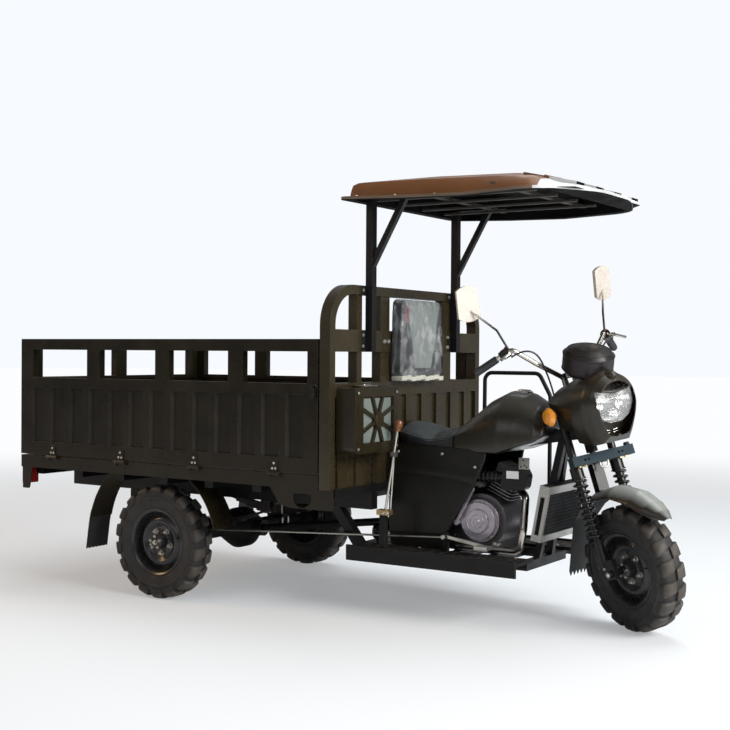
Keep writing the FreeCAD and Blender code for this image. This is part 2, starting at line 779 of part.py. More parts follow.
# Bed floor: plate between sills, with the skirts behind the headboard and the hinges' fixed halves
def bed_floor():
    half = BED_W / 2
    side_out = half - SILL_INSET
    parts = [box(BED_REAR, BED_FRONT, -half + 5, half - 5, FLOOR_TOP - FLOOR_PLATE, FLOOR_TOP)]
    for side in (-1, 1):
        outer = side * side_out
        inner = side * (half - SILL_W)
        low_y = min(outer, inner)
        high_y = max(outer, inner)
        parts.append(box(BED_REAR, BED_FRONT, low_y, high_y, SILL_BOTTOM, FLOOR_TOP))
        skirt = [
            (BED_FRONT - 264, SILL_BOTTOM),
            (BED_FRONT - 212, 521),
            (BED_FRONT - 150, 508),
            (BED_FRONT + 80, 508),
            (BED_FRONT + 80, SILL_BOTTOM),
        ]
        plate = side_plate(skirt, [0, 20, 20, 12, 0], outer, side * (side_out - 6))
        hole_x = BED_FRONT - 86
        hole = rod(V(hole_x, side * (half - 20), 561), V(hole_x, side * (half + 5), 561), 50)
        lower_part = box(hole_x - 60, hole_x + 60, -BED_W, BED_W, 500, 575)
        parts.append(plate.cut(hole.common(lower_part)))
        corner = [
            (BED_REAR + 12, SILL_BOTTOM),
            (BED_REAR + 12, 487),
            (BED_REAR + 60, 487),
            (BED_REAR + 81, SILL_BOTTOM),
        ]
        parts.append(side_plate(corner, [0, 4, 10, 0], outer, side * (side_out - 6)))
    for x in (BED_REAR, BED_FRONT - SILL_W):
        parts.append(box(x, x + SILL_W, -half + SILL_W, half - SILL_W, SILL_BOTTOM, FLOOR_TOP))
    for knuckle in fixed_knuckles(SIDE_GATE_LENGTH, SIDE_HINGES):
        parts += [place_side_gate(knuckle, side) for side in (-1, 1)]
    parts += [place_tail_gate(knuckle) for knuckle in fixed_knuckles(TAIL_GATE_LENGTH, TAIL_HINGES)]
    return join(parts)


# Gates: posts and top rail over a ribbed panel, hinged along the lower edge. Each is drawn lying
# along x from 0, its outer face at y = 0 and its inside towards +y
SIDE_GATE_LENGTH = BED_LENGTH - 2
TAIL_GATE_LENGTH = BED_W - 2 * (GATE_T + MOVE_GAP)
GATE_BOTTOM = FLOOR_TOP + MOVE_GAP
HINGE_Z = GATE_BOTTOM - HINGE_R


def gate(length, posts, rib_count):
    body = box(0, length, 0, GATE_T, GATE_BOTTOM, GATE_TOP)
    cuts = []
    for i in range(len(posts) - 1):
        window = (posts[i][1], posts[i + 1][0])
        cuts.append(box(window[0], window[1], -1, GATE_T + 1, PANEL_TOP, GATE_TOP - RAIL_H))
    cuts.append(box(-1, length + 1, GATE_T - 10, GATE_T + 1, GATE_BOTTOM - 1, PANEL_TOP - 20))
    margin = 60
    pitch = (length - 2 * margin) / rib_count
    for i in range(rib_count):
        x0 = margin + (i + 0.22) * pitch
        x1 = margin + (i + 0.78) * pitch
        outline = [(x0 - 12, -1), (x1 + 12, -1), (x1, RECESS_DEPTH), (x0, RECESS_DEPTH)]
        wire = rounded([V(x, y, RECESS_BOTTOM) for x, y in outline], [0] * 4)
        cuts.append(Part.Face(wire).extrude(V(0, 0, RECESS_TOP - RECESS_BOTTOM)))
    return body.cut(cuts)


def hinge_row(length, count):
    """Half of each hinge that turns with the gate: a leaf with its barrel."""
    parts = []
    for i in range(count):
        x = length * (i + 0.5) / count
        start = V(x - BARREL_HALF, -HINGE_OUT, HINGE_Z)
        parts.append(rod(start, start + V(2 * BARREL_HALF, 0, 0), HINGE_R))
        parts.append(box(x - 18, x + 18, -5, 0, HINGE_Z + 2, GATE_BOTTOM + 52))
    return parts


def fixed_knuckles(length, count):
    """Knuckles on the sill at both ends of each turning barrel."""
    made = []
    for i in range(count):
        x = length * (i + 0.5) / count
        for side in (-1, 1):
            start = V(x + side * (BARREL_HALF + GAP), -HINGE_OUT, HINGE_Z)
            end = start + V(side * 16, 0, 0)
            low_x = min(start.x, end.x)
            lug = box(low_x, low_x + 16, -HINGE_OUT, SILL_INSET + 2, HINGE_Z - 16, HINGE_Z - 4)
            made.append(join([rod(start, end, HINGE_R), lug]))
    return made


def side_gate():
    length = SIDE_GATE_LENGTH
    front_post = 58.0
    starts = [0.0, 475.0, 931.0, 1380.0]
    posts = [(x, x + POST_W) for x in starts] + [(length - front_post, length)]
    shape = gate(length, posts, RIB_COUNT)
    latch = box(length - 36, length - 12, -12, 0, LATCH_Z - 26, LATCH_Z + 26)
    return join([shape, latch] + hinge_row(length, SIDE_HINGES))


def tail_gate():
    length = TAIL_GATE_LENGTH
    middle = length / 2
    posts = [(0.0, 70.0), (middle - POST_W / 2, middle + POST_W / 2), (length - 70, length)]
    shape = gate(length, posts, 9)
    return join([shape] + hinge_row(length, TAIL_HINGES))


def place_side_gate(shape, side):
    gate_shape = shape.copy()
    gate_shape.translate(V(BED_REAR, -BED_W / 2, 0))
    if side > 0:
        gate_shape = gate_shape.mirror(V(0, 0, 0), V(0, 1, 0))
    return gate_shape


def place_tail_gate(shape):
    gate_shape = shape.copy()
    gate_shape.translate(V(-TAIL_GATE_LENGTH / 2, 0, 0))
    gate_shape.rotate(V(0, 0, 0), V(0, 0, 1), -90)
    gate_shape.translate(V(BED_REAR - SILL_INSET, 0, 0))
    return gate_shape


# Headboard: bent tube arch, rails and posts over a ribbed panel
def headboard():
    half = BED_W / 2
    foot = SILL_BOTTOM + GAP
    outer = [(-half, foot), (-half, HEAD_TOP), (half, HEAD_TOP), (half, foot)]
    inner_half = half - HEAD_TUBE
    panel_top = HEAD_PANEL_TOP - 62
    inner = [
        (-inner_half, panel_top + 2),
        (-inner_half, HEAD_TOP - HEAD_TUBE),
        (inner_half, HEAD_TOP - HEAD_TUBE),
        (inner_half, panel_top + 2),
    ]
    arch = front_plate(outer, [0, HEAD_CORNER_R, HEAD_CORNER_R, 0], HEAD_REAR, HEAD_FRONT)
    inner_r = HEAD_CORNER_R - HEAD_TUBE
    hole = front_plate(inner, [0, inner_r, inner_r, 0], HEAD_REAR - 1, HEAD_FRONT + 1)
    parts = [arch.cut(hole)]
    for low, high in ((panel_top, HEAD_PANEL_TOP), (MID_RAIL_LOW, MID_RAIL_HIGH)):
        parts.append(box(HEAD_REAR, HEAD_FRONT, -inner_half, inner_half, low, high))
    for y0, y1 in ((-475, -433), (-275, -195), (319, 400)):
        parts.append(box(HEAD_REAR, HEAD_FRONT - 8, y0, y1, HEAD_PANEL_TOP - 10, HEAD_TOP - 10))
    body = join(parts).cut([
        box(HEAD_FRONT - 20, HEAD_FRONT + 1, -inner_half, inner_half, foot - 5, panel_top),
        box(HEAD_REAR - 1, HEAD_REAR + 10, -inner_half, inner_half, foot + 50, panel_top),
    ])
    ribs = []
    pitch = 2 * inner_half / HEAD_RIBS
    for i in range(HEAD_RIBS):
        y = -inner_half + (i + 0.5) * pitch
        wide = pitch * 0.26
        ribs.append(box(HEAD_FRONT - 21, HEAD_FRONT - 8, y - wide, y + wide, foot, panel_top + 10))
    return join([body] + ribs)


def canopy_frame():
    """Post, brace and header on each side, cut off where they meet the roof."""
    x0 = HEAD_FRONT + GAP
    x1 = x0 + POST_SIZE
    top = ROOF_SECTIONS[3][5]
    shell = canopy_roof()
    made = []
    for side in (-1, 1):
        y = side * POST_Y
        half = POST_SIZE / 2
        post = box(x0, x1, y - half, y + half, MID_RAIL_LOW, top + 20)
        brace = beam(V(x1 - 10, y, 1600), V(x1 + 240, y, top + 20), 26, 26)
        header = box(x0, x1 + 260, y - 13, y + 13, 1922, 1948)
        whole = join([post, brace, header]).cut(shell)
        made.append(max(whole.Solids, key=lambda s: s.Volume))
    return made


# Roof: a thin lip all round, a raised panel with an arched top, and ribs running to the front edge
def roof_lip():
    front = LIP_HEIGHTS[-1][0]
    below = [(x, z - LIP_T) for x, z in reversed(LIP_HEIGHTS)]
    band = side_plate(LIP_HEIGHTS + below, [0] * 2 * len(below), -ROOF_HALF, ROOF_HALF)
    plan = [
        (ROOF_REAR, -ROOF_HALF),
        (front - 126, -ROOF_HALF),
        (front, -ROOF_HALF / 3),
        (front, ROOF_HALF / 3),
        (front - 126, ROOF_HALF),
        (ROOF_REAR, ROOF_HALF),
    ]
    outline = rounded([V(x, y, 1800) for x, y in plan], [60, 160, 500, 500, 160, 60])
    return band.common(Part.Face(outline).extrude(V(0, 0, 300)))


def canopy_roof():
    panel = crowned(ROOF_SECTIONS)
    hollow = []
    for x, low, high, base, edge, top in ROOF_SECTIONS[1:-1]:
        hollow.append((x, low - ROOF_T, high - ROOF_T, base - 40, edge - ROOF_T / 2, top - ROOF_T))
    hollow[0] = (hollow[0][0] + ROOF_T,) + hollow[0][1:]
    ribs = []
    for y in ROOF_RIB_Y:
        flat = abs(y) / ROOF_HALF * 40
        ribs.append(beam(V(1800, y, 1989 - flat), V(2044, y, 1914 - flat / 6), 84, 26))
    return join([roof_lip(), panel] + ribs).cut(crowned(hollow))


# Tool box on the headboard's right side, with the spoked cover
def tool_box():
    x0 = HEAD_FRONT + GAP
    x1 = x0 + 100
    y0, y1, z0, z1 = -650.0, -285.0, 757.0, 1048.0
    outline = [(y0, z0), (y1, z0), (y1, z1), (y0, z1)]
    frame = 42
    opening = [
        (y0 + frame + 26, z0 + frame),
        (y1 - frame, z0 + frame),
        (y1 - frame, z1 - frame),
        (y0 + frame + 26, z1 - frame),
    ]
    body = front_plate(outline, [28, 28, 18, 18], x0, x1)
    body = body.cut(front_plate(opening, [10] * 4, x1 - 16, x1 + 1))
    middle_y = (opening[0][0] + opening[1][0]) / 2
    middle_z = (opening[0][1] + opening[2][1]) / 2
    spokes = []
    for i in range(8):
        spoke = box(x1 - 17, x1 - 2, -7, 7, 20, 190)
        spoke.rotate(V(0, 0, 0), V(1, 0, 0), 22.5 + 45 * i)
        spoke.translate(V(0, middle_y, middle_z))
        spokes.append(spoke)
    star = join(spokes).common(front_plate(opening, [10] * 4, x1 - 17, x1))
    hub = rod(V(x1 - 17, middle_y, middle_z), V(x1 + 4, middle_y, middle_z), 36)
    latch = box(x0 + 20, x0 + 70, y0 + 90, y1 - 110, z1 - 2, z1 + 7)
    return join([body, star, hub, latch])


# Backrest pad, saddle, tank and side covers
def backrest():
    outline = [(-210, 1078), (210, 1078), (196, 1462), (-196, 1462)]
    return front_plate(outline, [40] * 4, HEAD_FRONT + GAP, HEAD_FRONT + 62)


def nose_block(shift):
    """Space in front of the slanted joint between saddle and tank."""
    start = JOINT_X + shift
    points = [(start - 18, 1100), (start + 6, 640), (2100, 640), (2100, 1100)]
    return side_plate(points, [0] * 4, -400, 400)


def saddle():
    return crowned(SADDLE_SECTIONS).cut([nose_block(-GAP), backbone(GAP)])


def fuel_tank():
    return crowned(TANK_SECTIONS).common(nose_block(0)).cut(backbone(GAP))


def side_covers():
    outline = [
        (1056, SADDLE_BASE + 14),
        (1042, 430),
        (1058, BOARD_BASE),
        (1352, BOARD_BASE),
        (1360, 380),
        (1404, 466),
        (1494, 600),
        (1546, 715),
        (1556, 770),
    ]
    plate = side_plate(outline, [0, 60, 8, 8, 60, 90, 90, 40, 0], -COVER_Y - COVER_T, -COVER_Y)
    return [part.cut([saddle(), fuel_tank()]) for part in both_sides(plate)]


def footboards():
    inner = COVER_Y + COVER_T + 2
    tube_top = BOARD_BASE - GAP
    outer = -BOARD_OUTER
    board = box(BOARD_REAR, BOARD_FRONT, outer, -inner, BOARD_BASE, BOARD_BASE + BOARD_T)
    lip = box(BOARD_REAR, BOARD_FRONT, outer, outer + 14, tube_top - 46, BOARD_TOP + 10)
    parts = [board, lip]
    edge = -(CRADLE_Y + CRADLE_TUBE / 2 + GAP)
    for x in (BOARD_REAR + 80, 1210, 1500, BOARD_FRONT - 80):
        parts.append(box(x, x + 30, outer + 10, edge, tube_top - 30, BOARD_BASE + 2))
    return both_sides(join(parts))


# Engine
def crankcase():
    """Case with stepped round covers, gear case behind it and the kick lever."""
    side_w = CASE_HALF_W
    gear_z = ENGINE_Z - 18
    parts = [rod(V(ENGINE_X, -side_w, ENGINE_Z), V(ENGINE_X, side_w, ENGINE_Z), CASE_R)]
    gear_half = side_w - 14
    parts.append(rod(V(GEAR_CASE_X, -gear_half, gear_z), V(GEAR_CASE_X, gear_half, gear_z), GEAR_CASE_R))
    parts.append(box(ENGINE_X - 150, ENGINE_X + 80, -100, 100, BOARD_BASE, ENGINE_Z))
    parts.append(box(ENGINE_X - 120, ENGINE_X + 40, -96, 96, ENGINE_Z - 60, ENGINE_Z + 90))
    for side in (-1, 1):
        start = V(ENGINE_X, side * side_w, ENGINE_Z)
        for radius, reach in ((96, 20), (84, 38), (52, 48)):
            parts.append(rod(start, start + V(0, side * reach, 0), radius))
    pivot = V(GEAR_CASE_X + 22, -gear_half, gear_z + 8)
    parts.append(rod(pivot, pivot + V(0, -82, 0), 12))
    arm = pivot + V(0, -74, 0)
    foot = arm + V(86, -6, 160)
    parts.append(beam(arm, foot, 12, 14))
    parts.append(rod(foot + V(-4, 8, -4), foot + V(-4, -8, -4), 9))
    return join(parts)


def cylinder():
    """Finned cylinder and head, leaning forward, built upright and then tilted."""
    parts = [rod(V(0, 0, 30), V(0, 0, CYLINDER_H - 30), 48)]
    for i in range(FIN_COUNT):
        z = 62 + i * 15
        fin = [V(-66, -70, z), V(66, -70, z), V(66, 70, z), V(-66, 70, z)]
        parts.append(Part.Face(rounded(fin, [24] * 4)).extrude(V(0, 0, 5)))
    parts.append(box(-58, 58, -60, 60, CYLINDER_H - 44, CYLINDER_H))
    body = join(parts)
    body.rotate(V(0, 0, 0), V(0, 1, 0), CYLINDER_LEAN)
    body.translate(V(ENGINE_X + 30, 0, ENGINE_Z + 60))
    return body.cut(crankcase())


def intake():
    """Air box and throat behind the cylinder, with the hose to the filter on the right side."""
    rear = ENGINE_X - 275
    low = ENGINE_Z + 120
    outline = [(rear, low), (rear + 185, low), (rear + 185, low + 116), (rear, low + 116)]
    air_box = side_plate(outline, [24] * 4, -110, 110)
    throat = rod(V(rear + 180, -20, low + 76), V(ENGINE_X + 70, -20, low + 76), 30)
    route = [V(rear + 150, -100, low + 72), V(rear + 230, -138, low + 84), V(1640, -132, 648)]
    hose = bent_tube(route, 40, 22)
    filter_outline = [(1606, 588), (1730, 596), (1742, 660), (1716, 706), (1622, 700)]
    case = side_plate(filter_outline, [26] * 5, -164, -108)
    return join([air_box, throat, hose, case]).cut([cylinder(), cradle()])


def exhaust():
    floor = BOARD_BASE + 28
    route = [
        V(1640, -50, 600),
        V(1700, -90, 560),
        V(1712, PIPE_Y, 420),
        V(1690, PIPE_Y, floor),
        V(1310, PIPE_Y, floor),
        V(1220, -88, floor + 8),
        V(1120, -88, floor + 14),
    ]
    pipe = bent_tube(route, 40, PIPE_R)
    muffler = rod(V(1125, -88, floor + 20), V(905, -88, floor + 24), 40)
    return join([pipe, muffler]).cut([cylinder(), crankcase()])


# Radiator on the down tubes, in a frame of side plates and strips across its ends
RADIATOR_X = DOWN_LOW.x + DOWN_TUBE_R + GAP
RADIATOR_T = 36.0
RADIATOR_HALF = 190.0
RADIATOR_Z = (385.0, 640.0)


def tilt_to_down_tube(shape):
    """Stand a block built at the down tube's foot up against the leaning tube."""
    lean = math.degrees(math.atan2(DOWN_HIGH.x - DOWN_LOW.x, DOWN_HIGH.z - DOWN_LOW.z))
    turned = shape.copy()
    turned.rotate(V(DOWN_LOW.x, 0, DOWN_LOW.z), V(0, 1, 0), lean)
    return turned


def radiator():
    low, high = RADIATOR_Z
    core = box(RADIATOR_X, RADIATOR_X + RADIATOR_T, -RADIATOR_HALF, RADIATOR_HALF, low, high)
    return tilt_to_down_tube(core)


def radiator_brackets():
    low, high = RADIATOR_Z
    front = RADIATOR_X + RADIATOR_T + GAP
    inner = RADIATOR_HALF + GAP
    parts = []
    for side in (-1, 1):
        y = sorted((side * inner, side * (inner + 18)))
        plate = box(RADIATOR_X - 4, front + 6, y[0], y[1], low + 4, high - 2)
        parts.append(plate.cut(box(RADIATOR_X + 8, front - 8, y[0] - 1, y[1] + 1, low + 34, high - 52)))
    for z0, z1 in ((low + 4, low + 34), (high - 36, high - 2)):
        parts.append(box(front, front + 6, -inner - 1, inner + 1, z0, z1))
    return tilt_to_down_tube(join(parts))


def guard_bar():
    route = [
        V(1262, 340, BOARD_TOP),
        V(1262, 350, 1108),
        V(1556, 350, 1108),
        V(1618, 346, 1000),
        V(1618, 340, BOARD_TOP),
    ]
    return bent_tube(route, 40, 10)


def gear_lever():
    y = -354
    post = box(1096, 1126, y - 14, y + 14, BOARD_TOP, 462)
    bracket = box(1084, 1148, y - 20, y + 20, 462, 486)
    stick = rod(V(1120, y, 480), V(1184, y, 862), 6)
    side_rod = rod(V(1142, y + 8, 480), V(1164, y + 4, 742), 4)
    strap = box(1148, 1178, y - 6, y + 10, 730, 752)
    knob = rod(V(1182, y, 850), V(1191, y, 898), 15)
    return join([post, bracket, stick, side_rod, strap, knob])


def brake_linkage():
    """Pedal on its post, and the long rod back to the axle."""
    y = -COVER_Y - COVER_T - 22
    post = box(1352, 1380, y - 8, y + 8, BOARD_TOP, 384)
    arm = beam(V(1366, y - 10, 372), V(1566, y - 30, BOARD_TOP + 44), 14, 14)
    pad = box(1545, 1610, y - 70, y - 10, BOARD_TOP + 30, BOARD_TOP + 46)
    rear_end = V(56 + GAP, -RAIL_Y, TYRE_R + AXLE_TUBE_R - 1)
    long_rod = rod(V(1366, y - 14, 366), rear_end, 5)
    return join([post, arm, pad, long_rod])


# Rear axle on leaf springs
def rear_axle():
    half = TRACK / 2 - HUB_HALF_REAR - GAP
    parts = [rod(V(0, -half, TYRE_R), V(0, half, TYRE_R), AXLE_TUBE_R)]
    spindle = half + HUB_HALF_REAR
    parts.append(rod(V(0, -spindle, TYRE_R), V(0, spindle, TYRE_R), SPINDLE_R))
    housing = [
        (AXLE_TUBE_R - 4, -170),
        (DIFF_R - 20, -70),
        (DIFF_R, -34),
        (DIFF_R, 34),
        (DIFF_R - 20, 70),
        (AXLE_TUBE_R - 4, 170),
    ]
    wire = rounded([V(r, y, TYRE_R) for r, y in housing], [0] * 6)
    parts.append(Part.Face(wire).revolve(V(0, 0, TYRE_R), V(0, 1, 0), 360))
    parts.append(rod(V(0, 0, TYRE_R), V(DIFF_R + 50, 0, TYRE_R + 8), 42))
    for side in (-1, 1):
        parts.append(rod(V(0, side * (half - 44), TYRE_R), V(0, side * half, TYRE_R), DRUM_R))
        y = side * RAIL_Y
        pad_top = TYRE_R + AXLE_TUBE_R + 6
        parts.append(box(-55, 55, y - 30, y + 30, pad_top - 18, pad_top))
    return join(parts)


def leaf_springs():
    made = []
    pad_top = TYRE_R + AXLE_TUBE_R + 6 + GAP
    sag = EYE_Z - 4 - pad_top - LEAF_COUNT * LEAF_T
    radius = (SPRING_HALF ** 2 + sag ** 2) / (2 * sag)
    hanger_high = RAIL_TOP - RAIL_DEPTH - GAP
    for side in (-1, 1):
        y = side * RAIL_Y
        low_y = y - LEAF_W / 2
        high_y = y + LEAF_W / 2
        leaves = []
        for i in range(LEAF_COUNT):
            reach = SPRING_HALF * (1 - 0.17 * (LEAF_COUNT - 1 - i))
            centre = V(0, low_y, pad_top + i * LEAF_T + radius)
            ring = Part.makeCylinder(radius, LEAF_W, centre, V(0, 1, 0))
            ring = ring.cut(Part.makeCylinder(radius - LEAF_T, LEAF_W, centre, V(0, 1, 0)))
            leaves.append(ring.common(box(-reach, reach, y - 60, y + 60, pad_top - 1, RAIL_TOP)))
        for x in (-SPRING_HALF, SPRING_HALF):
            leaves.append(rod(V(x, low_y, EYE_Z), V(x, high_y, EYE_Z), 17))
            for hanger_y in (low_y - 8, high_y):
                leaves.append(box(x - 24, x + 24, hanger_y, hanger_y + 8, EYE_Z - 20, hanger_high))
        made.append(join(leaves))
    return made


def drive_shaft():
    start = V(DIFF_R + 50 + 3, 0, TYRE_R + 8)
    gearbox = V(GEAR_CASE_X - GEAR_CASE_R - GAP, 0, ENGINE_Z - 18)
    flange = rod(gearbox - V(24, 0, 0), gearbox, 30)
    return join([rod(start, gearbox - V(20, 0, 0), 19), flange]).cut(rear_axle())


def arc_sheet(radius, low_angle, high_angle, y0, y1):
    """Curved sheet round the rear axle, angles measured up from straight ahead."""
    shapes = Part.makeCylinder(radius, y1 - y0, V(0, y0, TYRE_R), V(0, 1, 0))
    shapes = shapes.cut(Part.makeCylinder(radius - SHEET_T, y1 - y0, V(0, y0, TYRE_R), V(0, 1, 0)))
    far = 2 * radius
    low = math.radians(low_angle)
    high = math.radians(high_angle)
    wedge = [
        (0, TYRE_R),
        (far * math.cos(low), TYRE_R + far * math.sin(low)),
        (far * math.cos((low + high) / 2), TYRE_R + far * math.sin((low + high) / 2)),
        (far * math.cos(high), TYRE_R + far * math.sin(high)),
    ]
    return shapes.common(side_plate(wedge, [0] * 4, y0 - 5, y1 + 5))


def rear_fenders():
    y0 = -BED_W / 2 + 22
    y1 = y0 + FENDER_W
    under = SILL_BOTTOM - GAP
    front_top = math.degrees(math.asin((under - TYRE_R) / REAR_FENDER_FRONT_R))
    rear_top = 180 - math.degrees(math.asin((under - TYRE_R) / REAR_FENDER_BACK_R))
    made = []
    spans = ((REAR_FENDER_FRONT_R, 14.0, front_top + 2), (REAR_FENDER_BACK_R, rear_top - 2, 168.0))
    for radius, low, high in spans:
        sheet = arc_sheet(radius, low, high, y0, y1)
        made += both_sides(sheet.common(box(-600, 600, -BED_W, BED_W, 0, under)))
    return made


def rear_mudflaps():
    y0 = -BED_W / 2 + 24
    y1 = y0 + FENDER_W - 4
    radius = REAR_FENDER_BACK_R + SHEET_T + GAP
    sheet = arc_sheet(radius, 163, 172, y0, y1)
    angle = math.radians(172)
    x = (radius - SHEET_T) * math.cos(angle)
    z = TYRE_R + radius * math.sin(angle)
    flap = side_plate([(x, z + 6), (x - SHEET_T, z + 6), (x - 24, 205), (x - 20, 205)], [0] * 4, y0, y1)
    notches = []
    for i in range(6):
        y = y0 + (i + 0.5) * (y1 - y0) / 6
        notches.append(Part.makeCylinder(9, 60, V(x - 50, y, 200), V(1, 0, 0)))
    return both_sides(sheet.fuse(flap).cut(notches))


def tail_lamps():
    top = SILL_BOTTOM - GAP
    return both_sides(box(BED_REAR - 2, BED_REAR + 30, -BED_W / 2 + 12, -BED_W / 2 + 92, top - 84, top))


os.makedirs("parts", exist_ok=True)

tyre_shape = tyre()
wheel_shape = disc_wheel(HUB_HALF_REAR, SPINDLE_R + BORE_PLAY, -BORE_PLAY)
front_disc = disc_wheel(HUB_HALF_FRONT, FRONT_AXLE_R + BORE_PLAY, -HUB_HALF_FRONT - 5)
gate_shape = side_gate()
half_track = TRACK / 2
save("tyre_right", [place_wheel(tyre_shape, -half_track)])
save("tyre_left", [place_wheel(tyre_shape, half_track)])
save("wheel_right", [place_wheel(wheel_shape, -half_track)])
save("wheel_left", [place_wheel(wheel_shape, half_track)])
save("front_tyre", [front_wheel(tyre_shape)])
save("front_wheel", [front_wheel(front_disc)])
save("side_gate_right", [place_side_gate(gate_shape, -1)])
save("side_gate_left", [place_side_gate(gate_shape, 1)])
save("tail_gate", [place_tail_gate(tail_gate())])
save("fork", [fork()])
save("fork_springs", fork_springs())
save("fork_bar", [fork_bar()])
save("front_fender", [front_fender()])
save("front_mudflap", [front_mudflap()])
save("headlamp_cowl", [headlamp_cowl()])
save("headlamp_lens", [headlamp_lens()])
save("instrument_pod", [instrument_pod()])
save("handlebar", [handlebar()])
save("grips", grips())
save("mirrors", mirrors())
save("turn_signals", turn_signals())
save("control_cables", control_cables())
save("chassis_rails", chassis_rails())
save("cross_members", cross_members())
save("engine_cradle", [cradle()])
save("bed_floor", [bed_floor()])
save("headboard", [headboard()])
save("canopy_frame", canopy_frame())
save("canopy_roof", [canopy_roof()])
save("tool_box", [tool_box()])
save("backrest", [backrest()])
save("saddle", [saddle()])
save("fuel_tank", [fuel_tank()])
save("side_covers", side_covers())
save("footboards", footboards())
save("crankcase", [crankcase()])
save("cylinder", [cylinder()])
save("intake", [intake()])
save("exhaust", [exhaust()])
save("radiator", [radiator()])
save("radiator_brackets", [radiator_brackets()])
save("guard_bar", [guard_bar()])
save("gear_lever", [gear_lever()])
save("brake_linkage", [brake_linkage()])
save("rear_axle", [rear_axle()])
save("leaf_springs", leaf_springs())
save("drive_shaft", [drive_shaft()])
save("rear_fenders", rear_fenders())
save("rear_mudflaps", rear_mudflaps())
save("tail_lamps", tail_lamps())
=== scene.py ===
import bpy
import bmesh
import json
import math
import random
from mathutils import Matrix, Vector


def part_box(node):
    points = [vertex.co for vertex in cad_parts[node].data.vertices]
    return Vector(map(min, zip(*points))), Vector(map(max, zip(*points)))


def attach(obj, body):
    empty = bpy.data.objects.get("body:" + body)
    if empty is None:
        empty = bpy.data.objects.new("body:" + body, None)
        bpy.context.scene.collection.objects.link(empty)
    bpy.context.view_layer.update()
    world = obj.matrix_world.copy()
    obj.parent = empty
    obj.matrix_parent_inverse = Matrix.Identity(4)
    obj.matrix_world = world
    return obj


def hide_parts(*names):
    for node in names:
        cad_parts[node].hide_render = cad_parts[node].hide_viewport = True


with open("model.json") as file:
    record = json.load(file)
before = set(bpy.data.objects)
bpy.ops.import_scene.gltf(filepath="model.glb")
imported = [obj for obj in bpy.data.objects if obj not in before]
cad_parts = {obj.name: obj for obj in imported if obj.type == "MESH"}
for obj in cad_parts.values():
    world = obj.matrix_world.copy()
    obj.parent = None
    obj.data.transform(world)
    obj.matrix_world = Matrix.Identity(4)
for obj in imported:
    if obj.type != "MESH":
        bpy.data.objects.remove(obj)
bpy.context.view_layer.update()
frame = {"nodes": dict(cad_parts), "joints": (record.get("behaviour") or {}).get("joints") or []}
nodes = frame["nodes"]
joints = {joint["name"]: joint for joint in frame["joints"]}

# Camera: a long lens at chest height, ahead of the vehicle and to its right, turned about 33 degrees
# from square on, as the photograph shows it.
CAMERA_PLACE = Vector((3.342, -5.167, 1.205))
CAMERA_TURN = math.radians(32.83)
CAMERA_DIP = math.radians(0.59)
CAMERA_ROLL = math.radians(0.40)
look = Vector((-math.sin(CAMERA_TURN), math.cos(CAMERA_TURN), -math.tan(CAMERA_DIP))).normalized()
level_right = Vector((math.cos(CAMERA_TURN), math.sin(CAMERA_TURN), 0))
level_up = level_right.cross(look)
camera_right = level_right * math.cos(CAMERA_ROLL) + level_up * math.sin(CAMERA_ROLL)
camera_up = camera_right.cross(look)
camera_data = bpy.data.cameras.new("camera")
camera_data.lens = 61.15
camera_data.sensor_width = 36.0
camera_data.clip_end = 200.0
camera = bpy.data.objects.new("camera", camera_data)
bpy.context.scene.collection.objects.link(camera)
camera_axes = Matrix((camera_right, camera_up, -look)).transposed().to_4x4()
camera.matrix_world = Matrix.Translation(CAMERA_PLACE) @ camera_axes
bpy.context.scene.camera = camera

# Studio: a wide pale floor that fades to white far off, white all round for camera and transmission rays
# and dim for the rest, a broad lamp ahead of the vehicle, a weak one beside it, one over it and a warm low
# one behind.
FLOOR_HALF = 60.0
scene = bpy.context.scene
scene.view_settings.view_transform = "Standard"
world = bpy.data.worlds.new("studio")
scene.world = world
world.use_nodes = True
sky = world.node_tree
sky_light = sky.nodes["Background"]
sky_light.inputs["Color"].default_value = (0.93, 0.96, 1.0, 1)
rays = sky.nodes.new("ShaderNodeLightPath")
seen = sky.nodes.new("ShaderNodeMath")
seen.operation = "MAXIMUM"
sky.links.new(rays.outputs["Is Camera Ray"], seen.inputs[0])
sky.links.new(rays.outputs["Is Transmission Ray"], seen.inputs[1])
level = sky.nodes.new("ShaderNodeMapRange")
level.inputs["To Min"].default_value = 0.24
level.inputs["To Max"].default_value = 1.0
sky.links.new(seen.outputs[0], level.inputs["Value"])
sky.links.new(level.outputs["Result"], sky_light.inputs["Strength"])


def lamp(name, place, target, size, power, colour):
    data = bpy.data.lights.new(name, "AREA")
    data.shape = "RECTANGLE"
    data.size = size[0]
    data.size_y = size[1]
    data.energy = power
    data.color = colour
    made = bpy.data.objects.new(name, data)
    scene.collection.objects.link(made)
    made.location = place
    made.rotation_euler = (Vector(target) - Vector(place)).to_track_quat("-Z", "Y").to_euler()
    return made


lamp("front_lamp", (7.5, -1.0, 4.2), (0.3, 0, 0.9), (5.0, 3.2), 740, (1.0, 0.985, 0.95))
lamp("side_lamp", (0.5, -8.5, 4.5), (0, 0, 0.7), (7.0, 2.5), 65, (0.95, 0.97, 1.0))
lamp("top_lamp", (0.6, 1.5, 6.5), (0, 0, 0.5), (6.0, 4.0), 290, (0.94, 0.97, 1.0))
lamp("warm_lamp", (-6.5, -3.2, 4.2), (-0.3, 0, 0.9), (3.0, 2.2), 150, (1.0, 0.62, 0.30))

